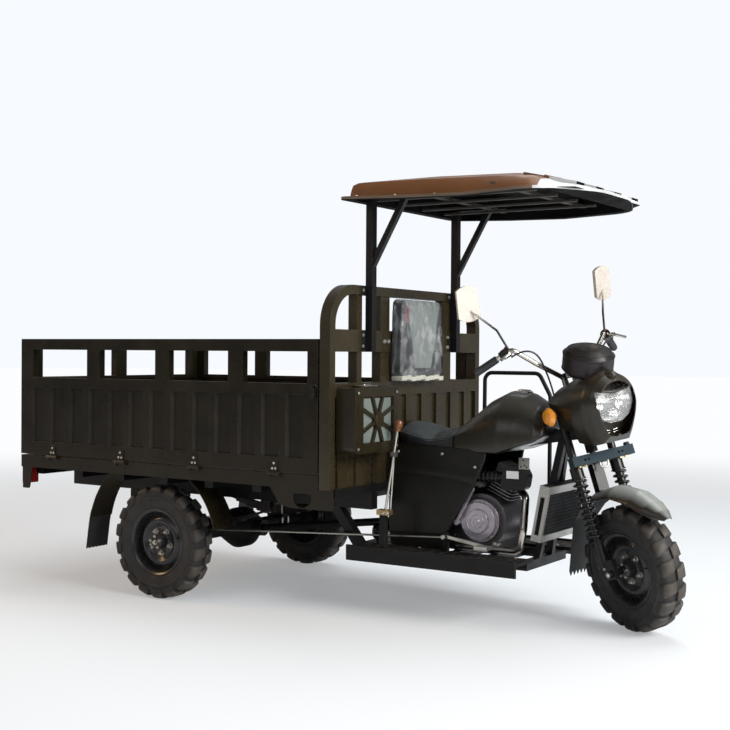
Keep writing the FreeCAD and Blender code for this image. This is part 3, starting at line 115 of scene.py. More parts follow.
floor_mesh = bpy.data.meshes.new("floor")
floor_corners = [(x * FLOOR_HALF, y * FLOOR_HALF, 0) for x, y in ((-1, -1), (1, -1), (1, 1), (-1, 1))]
floor_mesh.from_pydata(floor_corners, [], [(0, 1, 2, 3)])
floor = bpy.data.objects.new("floor", floor_mesh)
scene.collection.objects.link(floor)
floor_paint = bpy.data.materials.new("pale_floor")
floor_paint.use_nodes = True
floor_tree = floor_paint.node_tree
floor_body = floor_tree.nodes["Principled BSDF"]
floor_body.inputs["Roughness"].default_value = 0.55
floor_body.inputs["Specular IOR Level"].default_value = 0.25
floor_body.inputs["Base Color"].default_value = (0.80, 0.83, 0.86, 1)
white_glow = floor_tree.nodes.new("ShaderNodeEmission")
white_glow.inputs["Color"].default_value = (0.97, 0.985, 1.0, 1)
floor_place = floor_tree.nodes.new("ShaderNodeTexCoord")
floor_reach = floor_tree.nodes.new("ShaderNodeVectorMath")
floor_reach.operation = "LENGTH"
floor_tree.links.new(floor_place.outputs["Object"], floor_reach.inputs[0])
fade = floor_tree.nodes.new("ShaderNodeMapRange")
fade.interpolation_type = "SMOOTHSTEP"
fade.inputs["From Min"].default_value = 3.2
fade.inputs["From Max"].default_value = 10.0
fade.inputs["To Min"].default_value = 0.30
floor_tree.links.new(floor_reach.outputs["Value"], fade.inputs["Value"])
floor_rays = floor_tree.nodes.new("ShaderNodeLightPath")
floor_share = floor_tree.nodes.new("ShaderNodeMath")
floor_share.operation = "MULTIPLY"
floor_tree.links.new(fade.outputs["Result"], floor_share.inputs[0])
floor_tree.links.new(floor_rays.outputs["Is Camera Ray"], floor_share.inputs[1])
floor_mix = floor_tree.nodes.new("ShaderNodeMixShader")
floor_tree.links.new(floor_share.outputs[0], floor_mix.inputs["Fac"])
floor_tree.links.new(floor_body.outputs["BSDF"], floor_mix.inputs[1])
floor_tree.links.new(white_glow.outputs["Emission"], floor_mix.inputs[2])
floor_tree.links.new(floor_mix.outputs["Shader"], floor_tree.nodes["Material Output"].inputs["Surface"])
floor_mesh.materials.append(floor_paint)


# Chassis: box-section steel welded into a ladder under the bed and a cradle round the engine, dipped
# in black enamel that has dulled with dust.
DUST = (0.16, 0.135, 0.10)
ENAMEL_BLACK = (0.0060, 0.0055, 0.0060)


class Finish:
    """A Principled material under construction, read from each object's own coordinates."""

    def __init__(self, name, rough, metal=0.0):
        self.material = bpy.data.materials.new(name)
        self.material.use_nodes = True
        self.tree = self.material.node_tree
        self.body = self.tree.nodes["Principled BSDF"]
        self.body.inputs["Roughness"].default_value = rough
        self.body.inputs["Metallic"].default_value = metal
        self.place = self.tree.nodes.new("ShaderNodeTexCoord").outputs["Object"]

    def node(self, kind, **values):
        made = self.tree.nodes.new(kind)
        for name, value in values.items():
            setattr(made, name, value)
        return made

    def link(self, start, end):
        self.tree.links.new(start, end)

    def noise(self, scale, detail=4.0, stretch=(1, 1, 1)):
        spread = self.node("ShaderNodeMapping")
        spread.inputs["Scale"].default_value = stretch
        self.link(self.place, spread.inputs["Vector"])
        made = self.node("ShaderNodeTexNoise")
        made.inputs["Scale"].default_value = scale
        made.inputs["Detail"].default_value = detail
        self.link(spread.outputs["Vector"], made.inputs["Vector"])
        return made.outputs["Fac"]

    def spread(self, value, low, high, out_low=0.0, out_high=1.0):
        made = self.node("ShaderNodeMapRange")
        for name, number in (
            ("From Min", low), ("From Max", high), ("To Min", out_low), ("To Max", out_high)
        ):
            made.inputs[name].default_value = number
        self.link(value, made.inputs["Value"])
        return made.outputs["Result"]

    def mix(self, share, first, second):
        made = self.node("ShaderNodeMix", data_type="RGBA")
        for socket, value in zip((made.inputs[6], made.inputs[7]), (first, second)):
            if isinstance(value, tuple):
                socket.default_value = (*value, 1)
            else:
                self.link(value, socket)
        self.link(share, made.inputs[0])
        return made.outputs[2]

    def times(self, first, second):
        made = self.node("ShaderNodeMath", operation="MULTIPLY", use_clamp=True)
        for socket, value in zip(made.inputs, (first, second)):
            if isinstance(value, (int, float)):
                socket.default_value = value
            else:
                self.link(value, socket)
        return made.outputs[0]

    def edges(self, radius):
        """Rounded normal near the edges, and a mask that is 1 on them."""
        soft = self.node("ShaderNodeBevel", samples=4)
        soft.inputs["Radius"].default_value = radius
        flat = self.node("ShaderNodeNewGeometry")
        match = self.node("ShaderNodeVectorMath", operation="DOT_PRODUCT")
        self.link(soft.outputs["Normal"], match.inputs[0])
        self.link(flat.outputs["Normal"], match.inputs[1])
        return soft.outputs["Normal"], self.spread(match.outputs["Value"], 0.99, 0.86)

    def upward(self, low, high):
        """Mask of the faces that look up, where dust settles and where painted sheen is laid."""
        facing = self.node("ShaderNodeNewGeometry")
        parts = self.node("ShaderNodeSeparateXYZ")
        self.link(facing.outputs["Normal"], parts.inputs["Vector"])
        return self.spread(parts.outputs["Z"], low, high)

    def finish(self, colour, rough, height, depth, normal=None):
        self.link(colour, self.body.inputs["Base Color"])
        self.link(rough, self.body.inputs["Roughness"])
        relief = self.node("ShaderNodeBump")
        relief.inputs["Distance"].default_value = depth
        relief.inputs["Strength"].default_value = 0.6
        self.link(height, relief.inputs["Height"])
        if normal is not None:
            self.link(normal, relief.inputs["Normal"])
        self.link(relief.outputs["Normal"], self.body.inputs["Normal"])
        return self.material


def painted(name, colour, rough=0.34, coat=0.3, dust=0.35, wear=0.5, bare=(0.20, 0.19, 0.17), edge=0.0016):
    """Sprayed paint: faint orange peel, uneven gloss, dust on what faces up, lighter worn edges."""
    make = Finish(name, rough)
    make.body.inputs["Coat Weight"].default_value = coat
    make.body.inputs["Coat Roughness"].default_value = 0.14
    make.body.inputs["Specular IOR Level"].default_value = 0.25
    cloud = make.noise(2.3, 5.0)
    light = tuple(min(1.0, c * 1.28) for c in colour)
    dark = tuple(c * 0.78 for c in colour)
    tone = make.mix(make.spread(cloud, 0.35, 0.68), dark, light)
    speck = make.spread(make.noise(38.0, 6.0), 0.50, 0.74)
    settled = make.times(make.times(speck, make.upward(0.15, 0.95)), dust)
    film = make.times(make.spread(make.noise(6.0, 8.0, (1, 1, 0.35)), 0.52, 0.80), dust * 0.07)
    tone = make.mix(settled, tone, DUST)
    tone = make.mix(film, tone, DUST)
    normal, rim = make.edges(edge)
    chips = make.times(rim, make.spread(make.noise(55.0, 5.0), 0.46, 0.62))
    tone = make.mix(make.times(chips, wear), tone, bare)
    gloss = make.spread(make.noise(9.0, 6.0), 0.3, 0.75, rough - 0.07, rough + 0.13)
    return make.finish(tone, gloss, make.noise(420.0, 3.0), 0.0003, normal)


def wear_node(name, material):
    """Give a CAD node its finish."""
    slots = nodes[name].data.materials
    slots.clear()
    slots.append(material)
    for face in nodes[name].data.polygons:
        face.material_index = 0


black_enamel = painted("black_enamel", ENAMEL_BLACK, rough=0.40, coat=0.05, dust=0.30)
for name in ("chassis_rails", "engine_cradle"):
    wear_node(name, black_enamel)

# Wheels: pressed steel, a rolled rim barrel welded to a dished disc, black enamel, five zinc nuts on the
# hub's flange and five smaller studs inside them. Each spins on its own axle.
WHEEL_PROFILE = [
    (0.0, -0.060), (0.022, -0.060), (0.030, -0.056), (0.034, -0.050), (0.036, -0.036), (0.038, -0.012),
    (0.042, -0.009), (0.070, -0.009), (0.079, -0.012), (0.088, -0.022), (0.097, -0.029), (0.106, -0.029),
    (0.118, -0.021), (0.133, -0.008), (0.1435, -0.005), (0.1445, -0.020), (0.1455, -0.038), (0.149, -0.0455),
    (0.155, -0.0485), (0.1585, -0.0520), (0.1625, -0.0525), (0.1645, -0.0500), (0.1630, -0.0475),
    (0.152, -0.043), (0.150, -0.030), (0.149, 0.030), (0.152, 0.043), (0.1630, 0.0475), (0.1645, 0.0500),
    (0.1625, 0.0525), (0.1585, 0.0520), (0.149, 0.0455), (0.1435, 0.006), (0.133, 0.001), (0.118, -0.012),
    (0.106, -0.020), (0.097, -0.020), (0.088, -0.013), (0.079, -0.003), (0.070, 0.0), (0.040, 0.0),
    (0.036, 0.010), (0.036, 0.058), (0.030, 0.062), (0.0, 0.062),
]
NUT_RING = 0.058
STUD_RING = 0.029


def new_object(name, mesh, material):
    made = bpy.data.objects.new(name, mesh)
    scene.collection.objects.link(made)
    if material is not None:
        mesh.materials.clear()
        mesh.materials.append(material)
    return made


def smooth(mesh, degrees=38):
    mesh.shade_smooth()
    mesh.set_sharp_from_angle(angle=math.radians(degrees))


def lathe(name, profile, around=72):
    """Mesh turned about Y from (radius, y) points, closed where the profile starts and ends on the axis."""
    shape = bmesh.new()
    rings = []
    for radius, y in profile:
        if radius < 1e-6:
            rings.append([shape.verts.new((0, y, 0))])
            continue
        steps = [2 * math.pi * i / around for i in range(around)]
        rings.append([shape.verts.new((radius * math.cos(a), y, radius * math.sin(a))) for a in steps])
    for first, second in zip(rings, rings[1:]):
        for i in range(around):
            j = (i + 1) % around
            corners = [
                first[i % len(first)],
                first[j % len(first)],
                second[j % len(second)],
                second[i % len(second)],
            ]
            corners = list(dict.fromkeys(corners))
            if len(corners) > 2:
                shape.faces.new(corners)
    bmesh.ops.recalc_face_normals(shape, faces=shape.faces)
    mesh = bpy.data.meshes.new(name)
    shape.to_mesh(mesh)
    shape.free()
    smooth(mesh)
    return mesh


def add_prism(shape, sides, radius, base, axis, height, top_radius=None, turn=0.0):
    """Add a closed prism or cone frustum to a bmesh, standing on base along axis."""
    up = Vector(axis).normalized()
    side = up.orthogonal().normalized()
    across = up.cross(side)
    base = Vector(base)
    top_radius = radius if top_radius is None else top_radius
    rings = []
    for reach, rise in ((radius, 0.0), (top_radius, height)):
        ring = []
        for i in range(sides):
            a = 2 * math.pi * i / sides + turn
            outward = side * math.cos(a) + across * math.sin(a)
            ring.append(shape.verts.new(base + up * rise + outward * reach))
        rings.append(ring)
    for i in range(sides):
        j = (i + 1) % sides
        shape.faces.new((rings[0][i], rings[0][j], rings[1][j], rings[1][i]))
    shape.faces.new(list(reversed(rings[0])))
    shape.faces.new(rings[1])
    return rings


def add_nut(shape, base, axis, across, height):
    """Hexagon nut on a washer with its stud's end showing."""
    up = Vector(axis).normalized()
    base = Vector(base)
    add_prism(shape, 16, across * 0.62, base, up, height * 0.16)
    add_prism(shape, 6, across * 0.5, base + up * height * 0.16, up, height * 0.7, across * 0.5)
    add_prism(shape, 6, across * 0.5, base + up * height * 0.86, up, height * 0.12, across * 0.42)
    add_prism(shape, 10, across * 0.24, base + up * height * 0.9, up, height * 0.55, across * 0.20)


def shape_mesh(name, shape, degrees=38):
    bmesh.ops.recalc_face_normals(shape, faces=shape.faces)
    mesh = bpy.data.meshes.new(name)
    shape.to_mesh(mesh)
    shape.free()
    smooth(mesh, degrees)
    return mesh


def tree_with(name, numbers):
    """Geometry Nodes tree with named size inputs and a material input, with its input and output nodes."""
    tree = bpy.data.node_groups.new(name, "GeometryNodeTree")
    tree.interface.new_socket("Geometry", in_out="INPUT", socket_type="NodeSocketGeometry")
    tree.interface.new_socket("Geometry", in_out="OUTPUT", socket_type="NodeSocketGeometry")
    for label, value in numbers.items():
        kind = "NodeSocketInt" if isinstance(value, int) else "NodeSocketFloat"
        socket = tree.interface.new_socket(label, in_out="INPUT", socket_type=kind)
        socket.default_value = value
    tree.interface.new_socket("Material", in_out="INPUT", socket_type="NodeSocketMaterial")
    given = tree.nodes.new("NodeGroupInput")
    result = tree.nodes.new("NodeGroupOutput")
    return tree, given, result


def end_tree(tree, given, result, instances):
    real = tree.nodes.new("GeometryNodeRealizeInstances")
    paint = tree.nodes.new("GeometryNodeSetMaterial")
    tree.links.new(instances, real.inputs["Geometry"])
    tree.links.new(real.outputs["Geometry"], paint.inputs["Geometry"])
    tree.links.new(given.outputs["Material"], paint.inputs["Material"])
    tree.links.new(paint.outputs["Geometry"], result.inputs["Geometry"])


def grown(name, mesh, tree, values, material):
    """Run a tree over a mesh and keep the result as a plain mesh object."""
    seed = new_object(name, mesh, material)
    modifier = seed.modifiers.new("growth", "NODES")
    modifier.node_group = tree
    labels = {item.name: item.identifier for item in tree.interface.items_tree if item.in_out == "INPUT"}
    for label, value in {**values, "Material": material}.items():
        modifier[labels[label]] = value
    bpy.context.view_layer.update()
    view = bpy.context.evaluated_depsgraph_get()
    result = bpy.data.meshes.new_from_object(seed.evaluated_get(view), depsgraph=view)
    seed.modifiers.clear()
    seed.data = result
    result.materials.clear()
    result.materials.append(material)
    return seed


def ring_tree():
    """Copies the given mesh round the Y axis."""
    tree, given, result = tree_with("ring_of_copies", {"Count": 18, "First turn": 0.0})
    points = tree.nodes.new("GeometryNodePoints")
    tree.links.new(given.outputs["Count"], points.inputs["Count"])
    index = tree.nodes.new("GeometryNodeInputIndex")
    share = tree.nodes.new("ShaderNodeMath")
    share.operation = "DIVIDE"
    tree.links.new(index.outputs["Index"], share.inputs[0])
    tree.links.new(given.outputs["Count"], share.inputs[1])
    angle = tree.nodes.new("ShaderNodeMath")
    angle.operation = "MULTIPLY_ADD"
    angle.inputs[1].default_value = 2 * math.pi
    tree.links.new(share.outputs[0], angle.inputs[0])
    tree.links.new(given.outputs["First turn"], angle.inputs[2])
    turn = tree.nodes.new("ShaderNodeCombineXYZ")
    tree.links.new(angle.outputs[0], turn.inputs["Y"])
    copies = tree.nodes.new("GeometryNodeInstanceOnPoints")
    tree.links.new(points.outputs[0], copies.inputs["Points"])
    tree.links.new(given.outputs["Geometry"], copies.inputs["Instance"])
    tree.links.new(turn.outputs[0], copies.inputs["Rotation"])
    end_tree(tree, given, result, copies.outputs["Instances"])
    return tree


def joined(name, objects):
    """One object from several, with their materials kept face by face."""
    shape = bmesh.new()
    materials = []
    for each in objects:
        start = len(shape.faces)
        shape.from_mesh(each.data)
        shape.faces.ensure_lookup_table()
        finish = each.data.materials[0]
        if finish not in materials:
            materials.append(finish)
        for face in shape.faces[start:]:
            face.material_index = materials.index(finish)
    mesh = bpy.data.meshes.new(name)
    shape.to_mesh(mesh)
    shape.free()
    made = new_object(name, mesh, None)
    for finish in materials:
        mesh.materials.append(finish)
    for each in objects:
        old = each.data
        bpy.data.objects.remove(each)
        bpy.data.meshes.remove(old)
    return made


def metal(
    name,
    colour,
    rough,
    metallic=1.0,
    stain=(0.10, 0.085, 0.07),
    stains=0.4,
    grain=0.0002,
    edge=0.0008,
):
    """Bare or plated metal: cloudy stains, uneven polish and fine scratches."""
    make = Finish(name, rough, metallic)
    cloud = make.spread(make.noise(7.0, 7.0), 0.48, 0.76)
    tone = make.mix(make.times(cloud, stains), colour, stain)
    streak = make.spread(make.noise(30.0, 4.0, (1, 1, 6.0)), 0.35, 0.7)
    shade = tuple(c * 0.82 for c in colour)
    tone = make.mix(make.times(streak, 0.5), tone, shade)
    normal, rim = make.edges(edge)
    tone = make.mix(make.times(rim, 0.35), tone, tuple(min(1.0, c * 1.35) for c in colour))
    gloss = make.spread(make.noise(14.0, 6.0), 0.3, 0.72, max(0.03, rough - 0.06), rough + 0.12)
    return make.finish(tone, gloss, make.noise(240.0, 4.0), grain, normal)


wheel_enamel = painted("wheel_enamel", (0.017, 0.017, 0.019), rough=0.28, coat=0.5, dust=0.35, wear=0.3)
zinc_plate = metal("zinc_plate", (0.60, 0.58, 0.53), 0.34)
around_axle = ring_tree()


def nut_mesh(place, axis, across, height):
    shape = bmesh.new()
    add_nut(shape, place, axis, across, height)
    return shape_mesh("nut", shape)


def build_wheel(name):
    disc = new_object(name, lathe(name, WHEEL_PROFILE), wheel_enamel)
    nut = nut_mesh((NUT_RING, -0.009, 0), (0, -1, 0), 0.021, 0.017)
    nuts = grown("nuts", nut, around_axle, {"Count": 5, "First turn": 0.3}, zinc_plate)
    stud = nut_mesh((STUD_RING, -0.060, 0), (0, -1, 0), 0.011, 0.007)
    studs = grown("studs", stud, around_axle, {"Count": 5, "First turn": 0.9}, zinc_plate)
    cap = bmesh.new()
    add_nut(cap, (0, -0.060, 0), (0, -1, 0), 0.020, 0.010)
    centre = new_object("centre", shape_mesh("centre", cap), zinc_plate)
    valve = bmesh.new()
    add_prism(valve, 10, 0.0042, (0.128, -0.010, 0.030), (-0.25, -1, 0), 0.034, 0.0034)
    stem = new_object("valve", shape_mesh("valve", valve), rubber)
    return joined(name, [disc, nuts, studs, centre, stem])


# Tyres: black natural rubber on a 12 inch rim, two staggered rows of heavy lugs that wrap over the
# shoulders, sidewalls with thin moulded rings. The lugs' tops are grey-brown, partly road dust and partly
# painted light where a lamp falls on them.
LUGS_EACH_SIDE = 18
CARCASS = [
    (0.1600, 0.0475), (0.1680, 0.0510), (0.1720, 0.0525),
    (0.1740, 0.0545), (0.1765, 0.0545), (0.1785, 0.0535),
    (0.1900, 0.0560), (0.2030, 0.0578), (0.2100, 0.0583),
    (0.2115, 0.0596), (0.2150, 0.0597), (0.2165, 0.0585),
    (0.2280, 0.0575), (0.2400, 0.0545), (0.2500, 0.0495),
    (0.2570, 0.0430), (0.2610, 0.0330), (0.2625, 0.0180),
    (0.2630, 0.0),
]
LUG_TOP = [
    (0.2725, 0.0045), (0.2745, 0.0075), (0.2748, 0.0200),
    (0.2744, 0.0330), (0.2722, 0.0430), (0.2670, 0.0520),
    (0.2590, 0.0580), (0.2490, 0.0610), (0.2400, 0.0600),
]
LUG_WIDTH = (0.0240, 0.0245, 0.0250, 0.0265, 0.0285, 0.0295, 0.0290, 0.0270, 0.0240)
LUG_LEAN = 0.06


def rubber_finish():
    make = Finish("tyre_rubber", 0.68)
    tread = make.node("ShaderNodeAttribute", attribute_name="tread").outputs["Fac"]
    base = make.mix(
        make.spread(make.noise(5.0, 5.0), 0.35, 0.7), (0.011, 0.0105, 0.011), (0.020, 0.018, 0.017)
    )
    # The lug tops are mixed towards grey-brown: road dust, with painted light for the lamp on them.
    dust_and_lit_lug_tops = make.times(tread, make.spread(make.noise(26.0, 7.0), 0.30, 0.62, 0.45, 0.95))
    tone = make.mix(dust_and_lit_lug_tops, base, (0.062, 0.052, 0.043))
    gloss = make.spread(make.noise(16.0, 5.0), 0.3, 0.7, 0.50, 0.80)
    return make.finish(tone, gloss, make.noise(160.0, 6.0), 0.0006)


def plain_rubber(name, colour, rough):
    make = Finish(name, rough)
    tone = make.mix(
        make.spread(make.noise(8.0, 5.0), 0.35, 0.7), colour, tuple(c * 1.7 + 0.004 for c in colour)
    )
    settled = make.times(make.spread(make.noise(34.0, 6.0), 0.5, 0.75), make.upward(0.1, 0.9))
    tone = make.mix(make.times(settled, 0.5), tone, DUST)
    gloss = make.spread(make.noise(16.0, 5.0), 0.3, 0.7, rough - 0.08, rough + 0.12)
    return make.finish(tone, gloss, make.noise(210.0, 5.0), 0.0004)


def lug_mesh():
    """One lug for each side of the tread, the second half a pitch behind the first."""
    shape = bmesh.new()
    tread = shape.verts.layers.float.new("tread")
    pitch = 2 * math.pi / LUGS_EACH_SIDE
    columns = (
        (-1.16, 0.020), (-1.0, 0.0030), (-0.86, 0.0), (-0.1, 0.0), (0.1, 0.0), (0.86, 0.0),
        (1.0, 0.0030), (1.16, 0.020),
    )
    for side, phase in ((-1, 0.0), (1, pitch / 2)):
        rows = []
        for step, (radius, y) in enumerate(LUG_TOP):
            row = []
            for share, drop in columns:
                lean = LUG_LEAN * (y / 0.06)
                angle = phase + side * lean + share * LUG_WIDTH[step] / radius
                deep = min(drop, 0.016)
                inward = 0.35 if step > 4 else 0.0
                reach = radius - deep * (1 - inward)
                width = y - deep * inward * 1.2
                vert = shape.verts.new((reach * math.cos(angle), side * width, reach * math.sin(angle)))
                vert[tread] = 1.0 if drop < 0.004 and step < 7 else 0.0
                row.append(vert)
            rows.append(row)
        for first, second in zip(rows, rows[1:]):
            for i in range(len(columns) - 1):
                shape.faces.new((first[i], first[i + 1], second[i + 1], second[i]))
        for row in (rows[0], rows[-1]):
            feet = []
            for vert in row:
                radius = math.hypot(vert.co.x, vert.co.z)
                low = (radius - 0.014) / radius
                feet.append(shape.verts.new((vert.co.x * low, vert.co.y, vert.co.z * low)))
            for i in range(len(columns) - 1):
                shape.faces.new((row[i], row[i + 1], feet[i + 1], feet[i]))
    return shape_mesh("lugs", shape, 45)


def build_tyre(name):
    half = [(r, -y) for r, y in CARCASS]
    profile = half + [(r, y) for r, y in reversed(CARCASS[:-1])]
    profile.append((0.1555, 0.0440))
    profile.append((0.1555, -0.0440))
    profile.append((CARCASS[0][0], -CARCASS[0][1]))
    carcass = lathe(name, profile, 108)
    carcass.attributes.new("tread", "FLOAT", "POINT")
    body = new_object(name, carcass, rubber)
    lugs = grown("lugs", lug_mesh(), around_axle, {"Count": LUGS_EACH_SIDE, "First turn": 0.1}, rubber)
    return joined(name, [body, lugs])


rubber = rubber_finish()
steer_joint = joints["steering_turn"]
STEER_AT = Vector(steer_joint["pos_m"])
STEER_AXIS = Vector(steer_joint["axis"]).normalized()
REST_STEER = math.radians(-30)
fork_turn = (
    Matrix.Translation(STEER_AT)
    @ Matrix.Rotation(REST_STEER, 4, STEER_AXIS)
    @ Matrix.Translation(-STEER_AT)
)


def axle_matrix(joint_name):
    """From a wheel built on the Y axis to its place on the vehicle."""
    joint = joints[joint_name]
    place = Matrix.Translation(Vector(joint["pos_m"]))
    if joint_name == "front_wheel_spin":
        return place @ Matrix.Rotation(REST_STEER, 4, STEER_AXIS)
    return place @ Matrix.Rotation(math.pi if joint["pos_m"][1] > 0 else 0.0, 4, "Z")


def fitted(made, matrix, body, slot, *replaced):
    """Put a finished piece in its place, on its body, in place of its CAD nodes."""
    made.data.transform(matrix)
    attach(made, body)
    if replaced:
        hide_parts(*replaced)
    return made


for joint_name, body, wheel_node, tyre_node in (
    ("front_wheel_spin", "front_wheel_body", "front_wheel", "front_tyre"),
    ("right_wheel_spin", "right_wheel_body", "wheel_right", "tyre_right"),
    ("left_wheel_spin", "left_wheel_body", "wheel_left", "tyre_left"),
):
    matrix = axle_matrix(joint_name)
    fitted(build_wheel(wheel_node + "_dressed"), matrix, body, "hub_paint", wheel_node)
    fitted(build_tyre(tyre_node + "_dressed"), matrix, body, "tyre_rubber", tyre_node)


# Rear axle, leaf springs, drive shaft and cross members: welded and rolled steel under the bed, black
# paint gone grey with road dirt, with zinc U bolts that clamp each spring to the axle.
U_BOLT_R = 0.006
U_BOLT_OFFSETS = (-0.040, 0.040)


def dressed(node, material, body, angle=32):
    """Smoothly shaded copy of a CAD node, welded along its edges, in the node's place."""
    shape = bmesh.new()
    shape.from_mesh(nodes[node].data)
    bmesh.ops.remove_doubles(shape, verts=shape.verts, dist=0.00002)
    mesh = bpy.data.meshes.new(node + "_dressed")
    shape.to_mesh(mesh)
    shape.free()
    given = mesh.attributes.get("custom_normal")
    if given is not None:
        mesh.attributes.remove(given)
    smooth(mesh, angle)
    made = new_object(node + "_dressed", mesh, material)
    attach(made, body)
    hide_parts(node)
    return made


def piece(name, shape, material, body, degrees=38):
    """A piece made from a bmesh that is already in its place."""
    made = new_object(name, shape_mesh(name, shape, degrees), material)
    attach(made, body)
    return made


def add_box(shape, low, high, turn=None, bevel=0.0):
    """Add a closed box to a bmesh, turned about its own middle, with its edges rounded off when a bevel is
    given.
    """
    low, high = Vector(low), Vector(high)
    made = bmesh.ops.create_cube(shape, size=1.0)
    bmesh.ops.scale(shape, vec=high - low, verts=made["verts"])
    if bevel > 0:
        edges = list(dict.fromkeys(edge for vert in made["verts"] for edge in vert.link_edges))
        made = bmesh.ops.bevel(shape, geom=edges, offset=bevel, segments=2, profile=0.6, affect="EDGES")
        verts = list({vert for face in made["faces"] for vert in face.verts})
        island = set(verts)
        stack = list(verts)
        while stack:
            for edge in stack.pop().link_edges:
                for vert in edge.verts:
                    if vert not in island:
                        island.add(vert)
                        stack.append(vert)
        made = {"verts": list(island)}
    matrix = Matrix.Translation((low + high) / 2)
    if turn is not None:
        matrix = matrix @ turn.to_4x4()
    bmesh.ops.transform(shape, matrix=matrix, verts=made["verts"])


def add_tube(shape, points, radius, around=12):
    """Add a closed round bar that follows the points."""
    points = [Vector(p) for p in points]
    rings = []
    side = (points[1] - points[0]).orthogonal().normalized()
    for i, point in enumerate(points):
        before = points[max(i - 1, 0)]
        after = points[min(i + 1, len(points) - 1)]
        along = (after - before).normalized()
        side = (side - along * side.dot(along)).normalized()
        across = along.cross(side)
        ring = []
        for j in range(around):
            a = 2 * math.pi * j / around
            ring.append(shape.verts.new(point + (side * math.cos(a) + across * math.sin(a)) * radius))
        rings.append(ring)
    for first, second in zip(rings, rings[1:]):
        for j in range(around):
            k = (j + 1) % around
            shape.faces.new((first[j], first[k], second[k], second[j]))
    shape.faces.new(list(reversed(rings[0])))
    shape.faces.new(rings[-1])


def rounded_path(points, radius, steps=6):
    """Points of a path whose corners are replaced by short arcs of quadratic bends."""
    points = [Vector(p) for p in points]
    path = [points[0]]
    for before, corner, after in zip(points, points[1:], points[2:]):
        start = corner + (before - corner).normalized() * min(radius, (before - corner).length / 2)
        end = corner + (after - corner).normalized() * min(radius, (after - corner).length / 2)
        for i in range(steps + 1):
            t = i / steps
            path.append(start * (1 - t) ** 2 + corner * 2 * t * (1 - t) + end * t ** 2)
    path.append(points[-1])
    return path


def add_bolt(shape, base, axis, across, height):
    """Hexagon bolt head on a washer, slightly domed."""
    up = Vector(axis).normalized()
    base = Vector(base)
    add_prism(shape, 18, across * 0.66, base, up, height * 0.18)
    add_prism(shape, 6, across * 0.5, base + up * height * 0.18, up, height * 0.66)
    add_prism(shape, 6, across * 0.5, base + up * height * 0.84, up, height * 0.16, across * 0.40)


def from_axle(x, y, z):
    """Place on the vehicle from metres ahead of the rear axle, across and up."""
    return Vector((x + REAR_AXLE_X, y, z))


REAR_AXLE_X = joints["right_wheel_spin"]["pos_m"][0]
REAR_AXLE_Z = joints["right_wheel_spin"]["pos_m"][2]
dirty_black = painted("dirty_black", (0.0065, 0.0060, 0.0060), rough=0.55, coat=0.03, dust=0.45, wear=0.35)
leaf_steel = painted(
    "leaf_steel",
    (0.016, 0.014, 0.013),
    rough=0.5,
    coat=0.0,
    dust=0.6,
    wear=0.7,
    bare=(0.16, 0.10, 0.07),
)
for name in ("rear_axle", "drive_shaft"):
    dressed(name, dirty_black, "chassis", 45)
dressed("leaf_springs", leaf_steel, "chassis")
dressed("cross_members", black_enamel, "chassis", 20)
clamps = bmesh.new()
_, spring_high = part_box("leaf_springs")
for side in (-1, 1):
    middle_y = side * (spring_high.y - 0.021)
    for offset in U_BOLT_OFFSETS:
        x = REAR_AXLE_X + offset
        foot_z = REAR_AXLE_Z - 0.040
        top_z = REAR_AXLE_Z + 0.088
        for edge in (-0.0265, 0.0265):
            y = middle_y + edge
            add_tube(clamps, [(x, y, foot_z), (x, y, top_z)], U_BOLT_R)
            add_nut(clamps, (x, y, foot_z), (0, 0, -1), 0.017, 0.010)
        add_tube(clamps, [(x, middle_y - 0.0265, top_z), (x, middle_y + 0.0265, top_z)], U_BOLT_R)
    add_box(
        clamps,
        (REAR_AXLE_X - 0.056, middle_y - 0.036, foot_z - 0.002),
        (REAR_AXLE_X + 0.056, middle_y + 0.036, foot_z + 0.006),
    )
piece("spring_clamps", clamps, zinc_plate, "chassis")


# Cargo bed: pressed steel sheet on folded sills, all sprayed one dark olive. The floor has a rolled
# diamond pattern, and the skirts, rear fenders and their rubber flaps hang below it.
OLIVE = (0.0115, 0.0086, 0.0038)
OLIVE_EDGE = (0.085, 0.076, 0.048)


def olive_finish(name, rough=0.30, coat=0.13, dust=0.12, tone=1.0):
    """The body paint: dark olive with soft orange peel, brighter where edges are rubbed; a tone above 1 gives
    a lighter copy as painted light.
    """
    colour = tuple(c * tone for c in OLIVE)
    return painted(name, colour, rough=rough, coat=coat, dust=dust, wear=0.8, bare=OLIVE_EDGE, edge=0.0022)


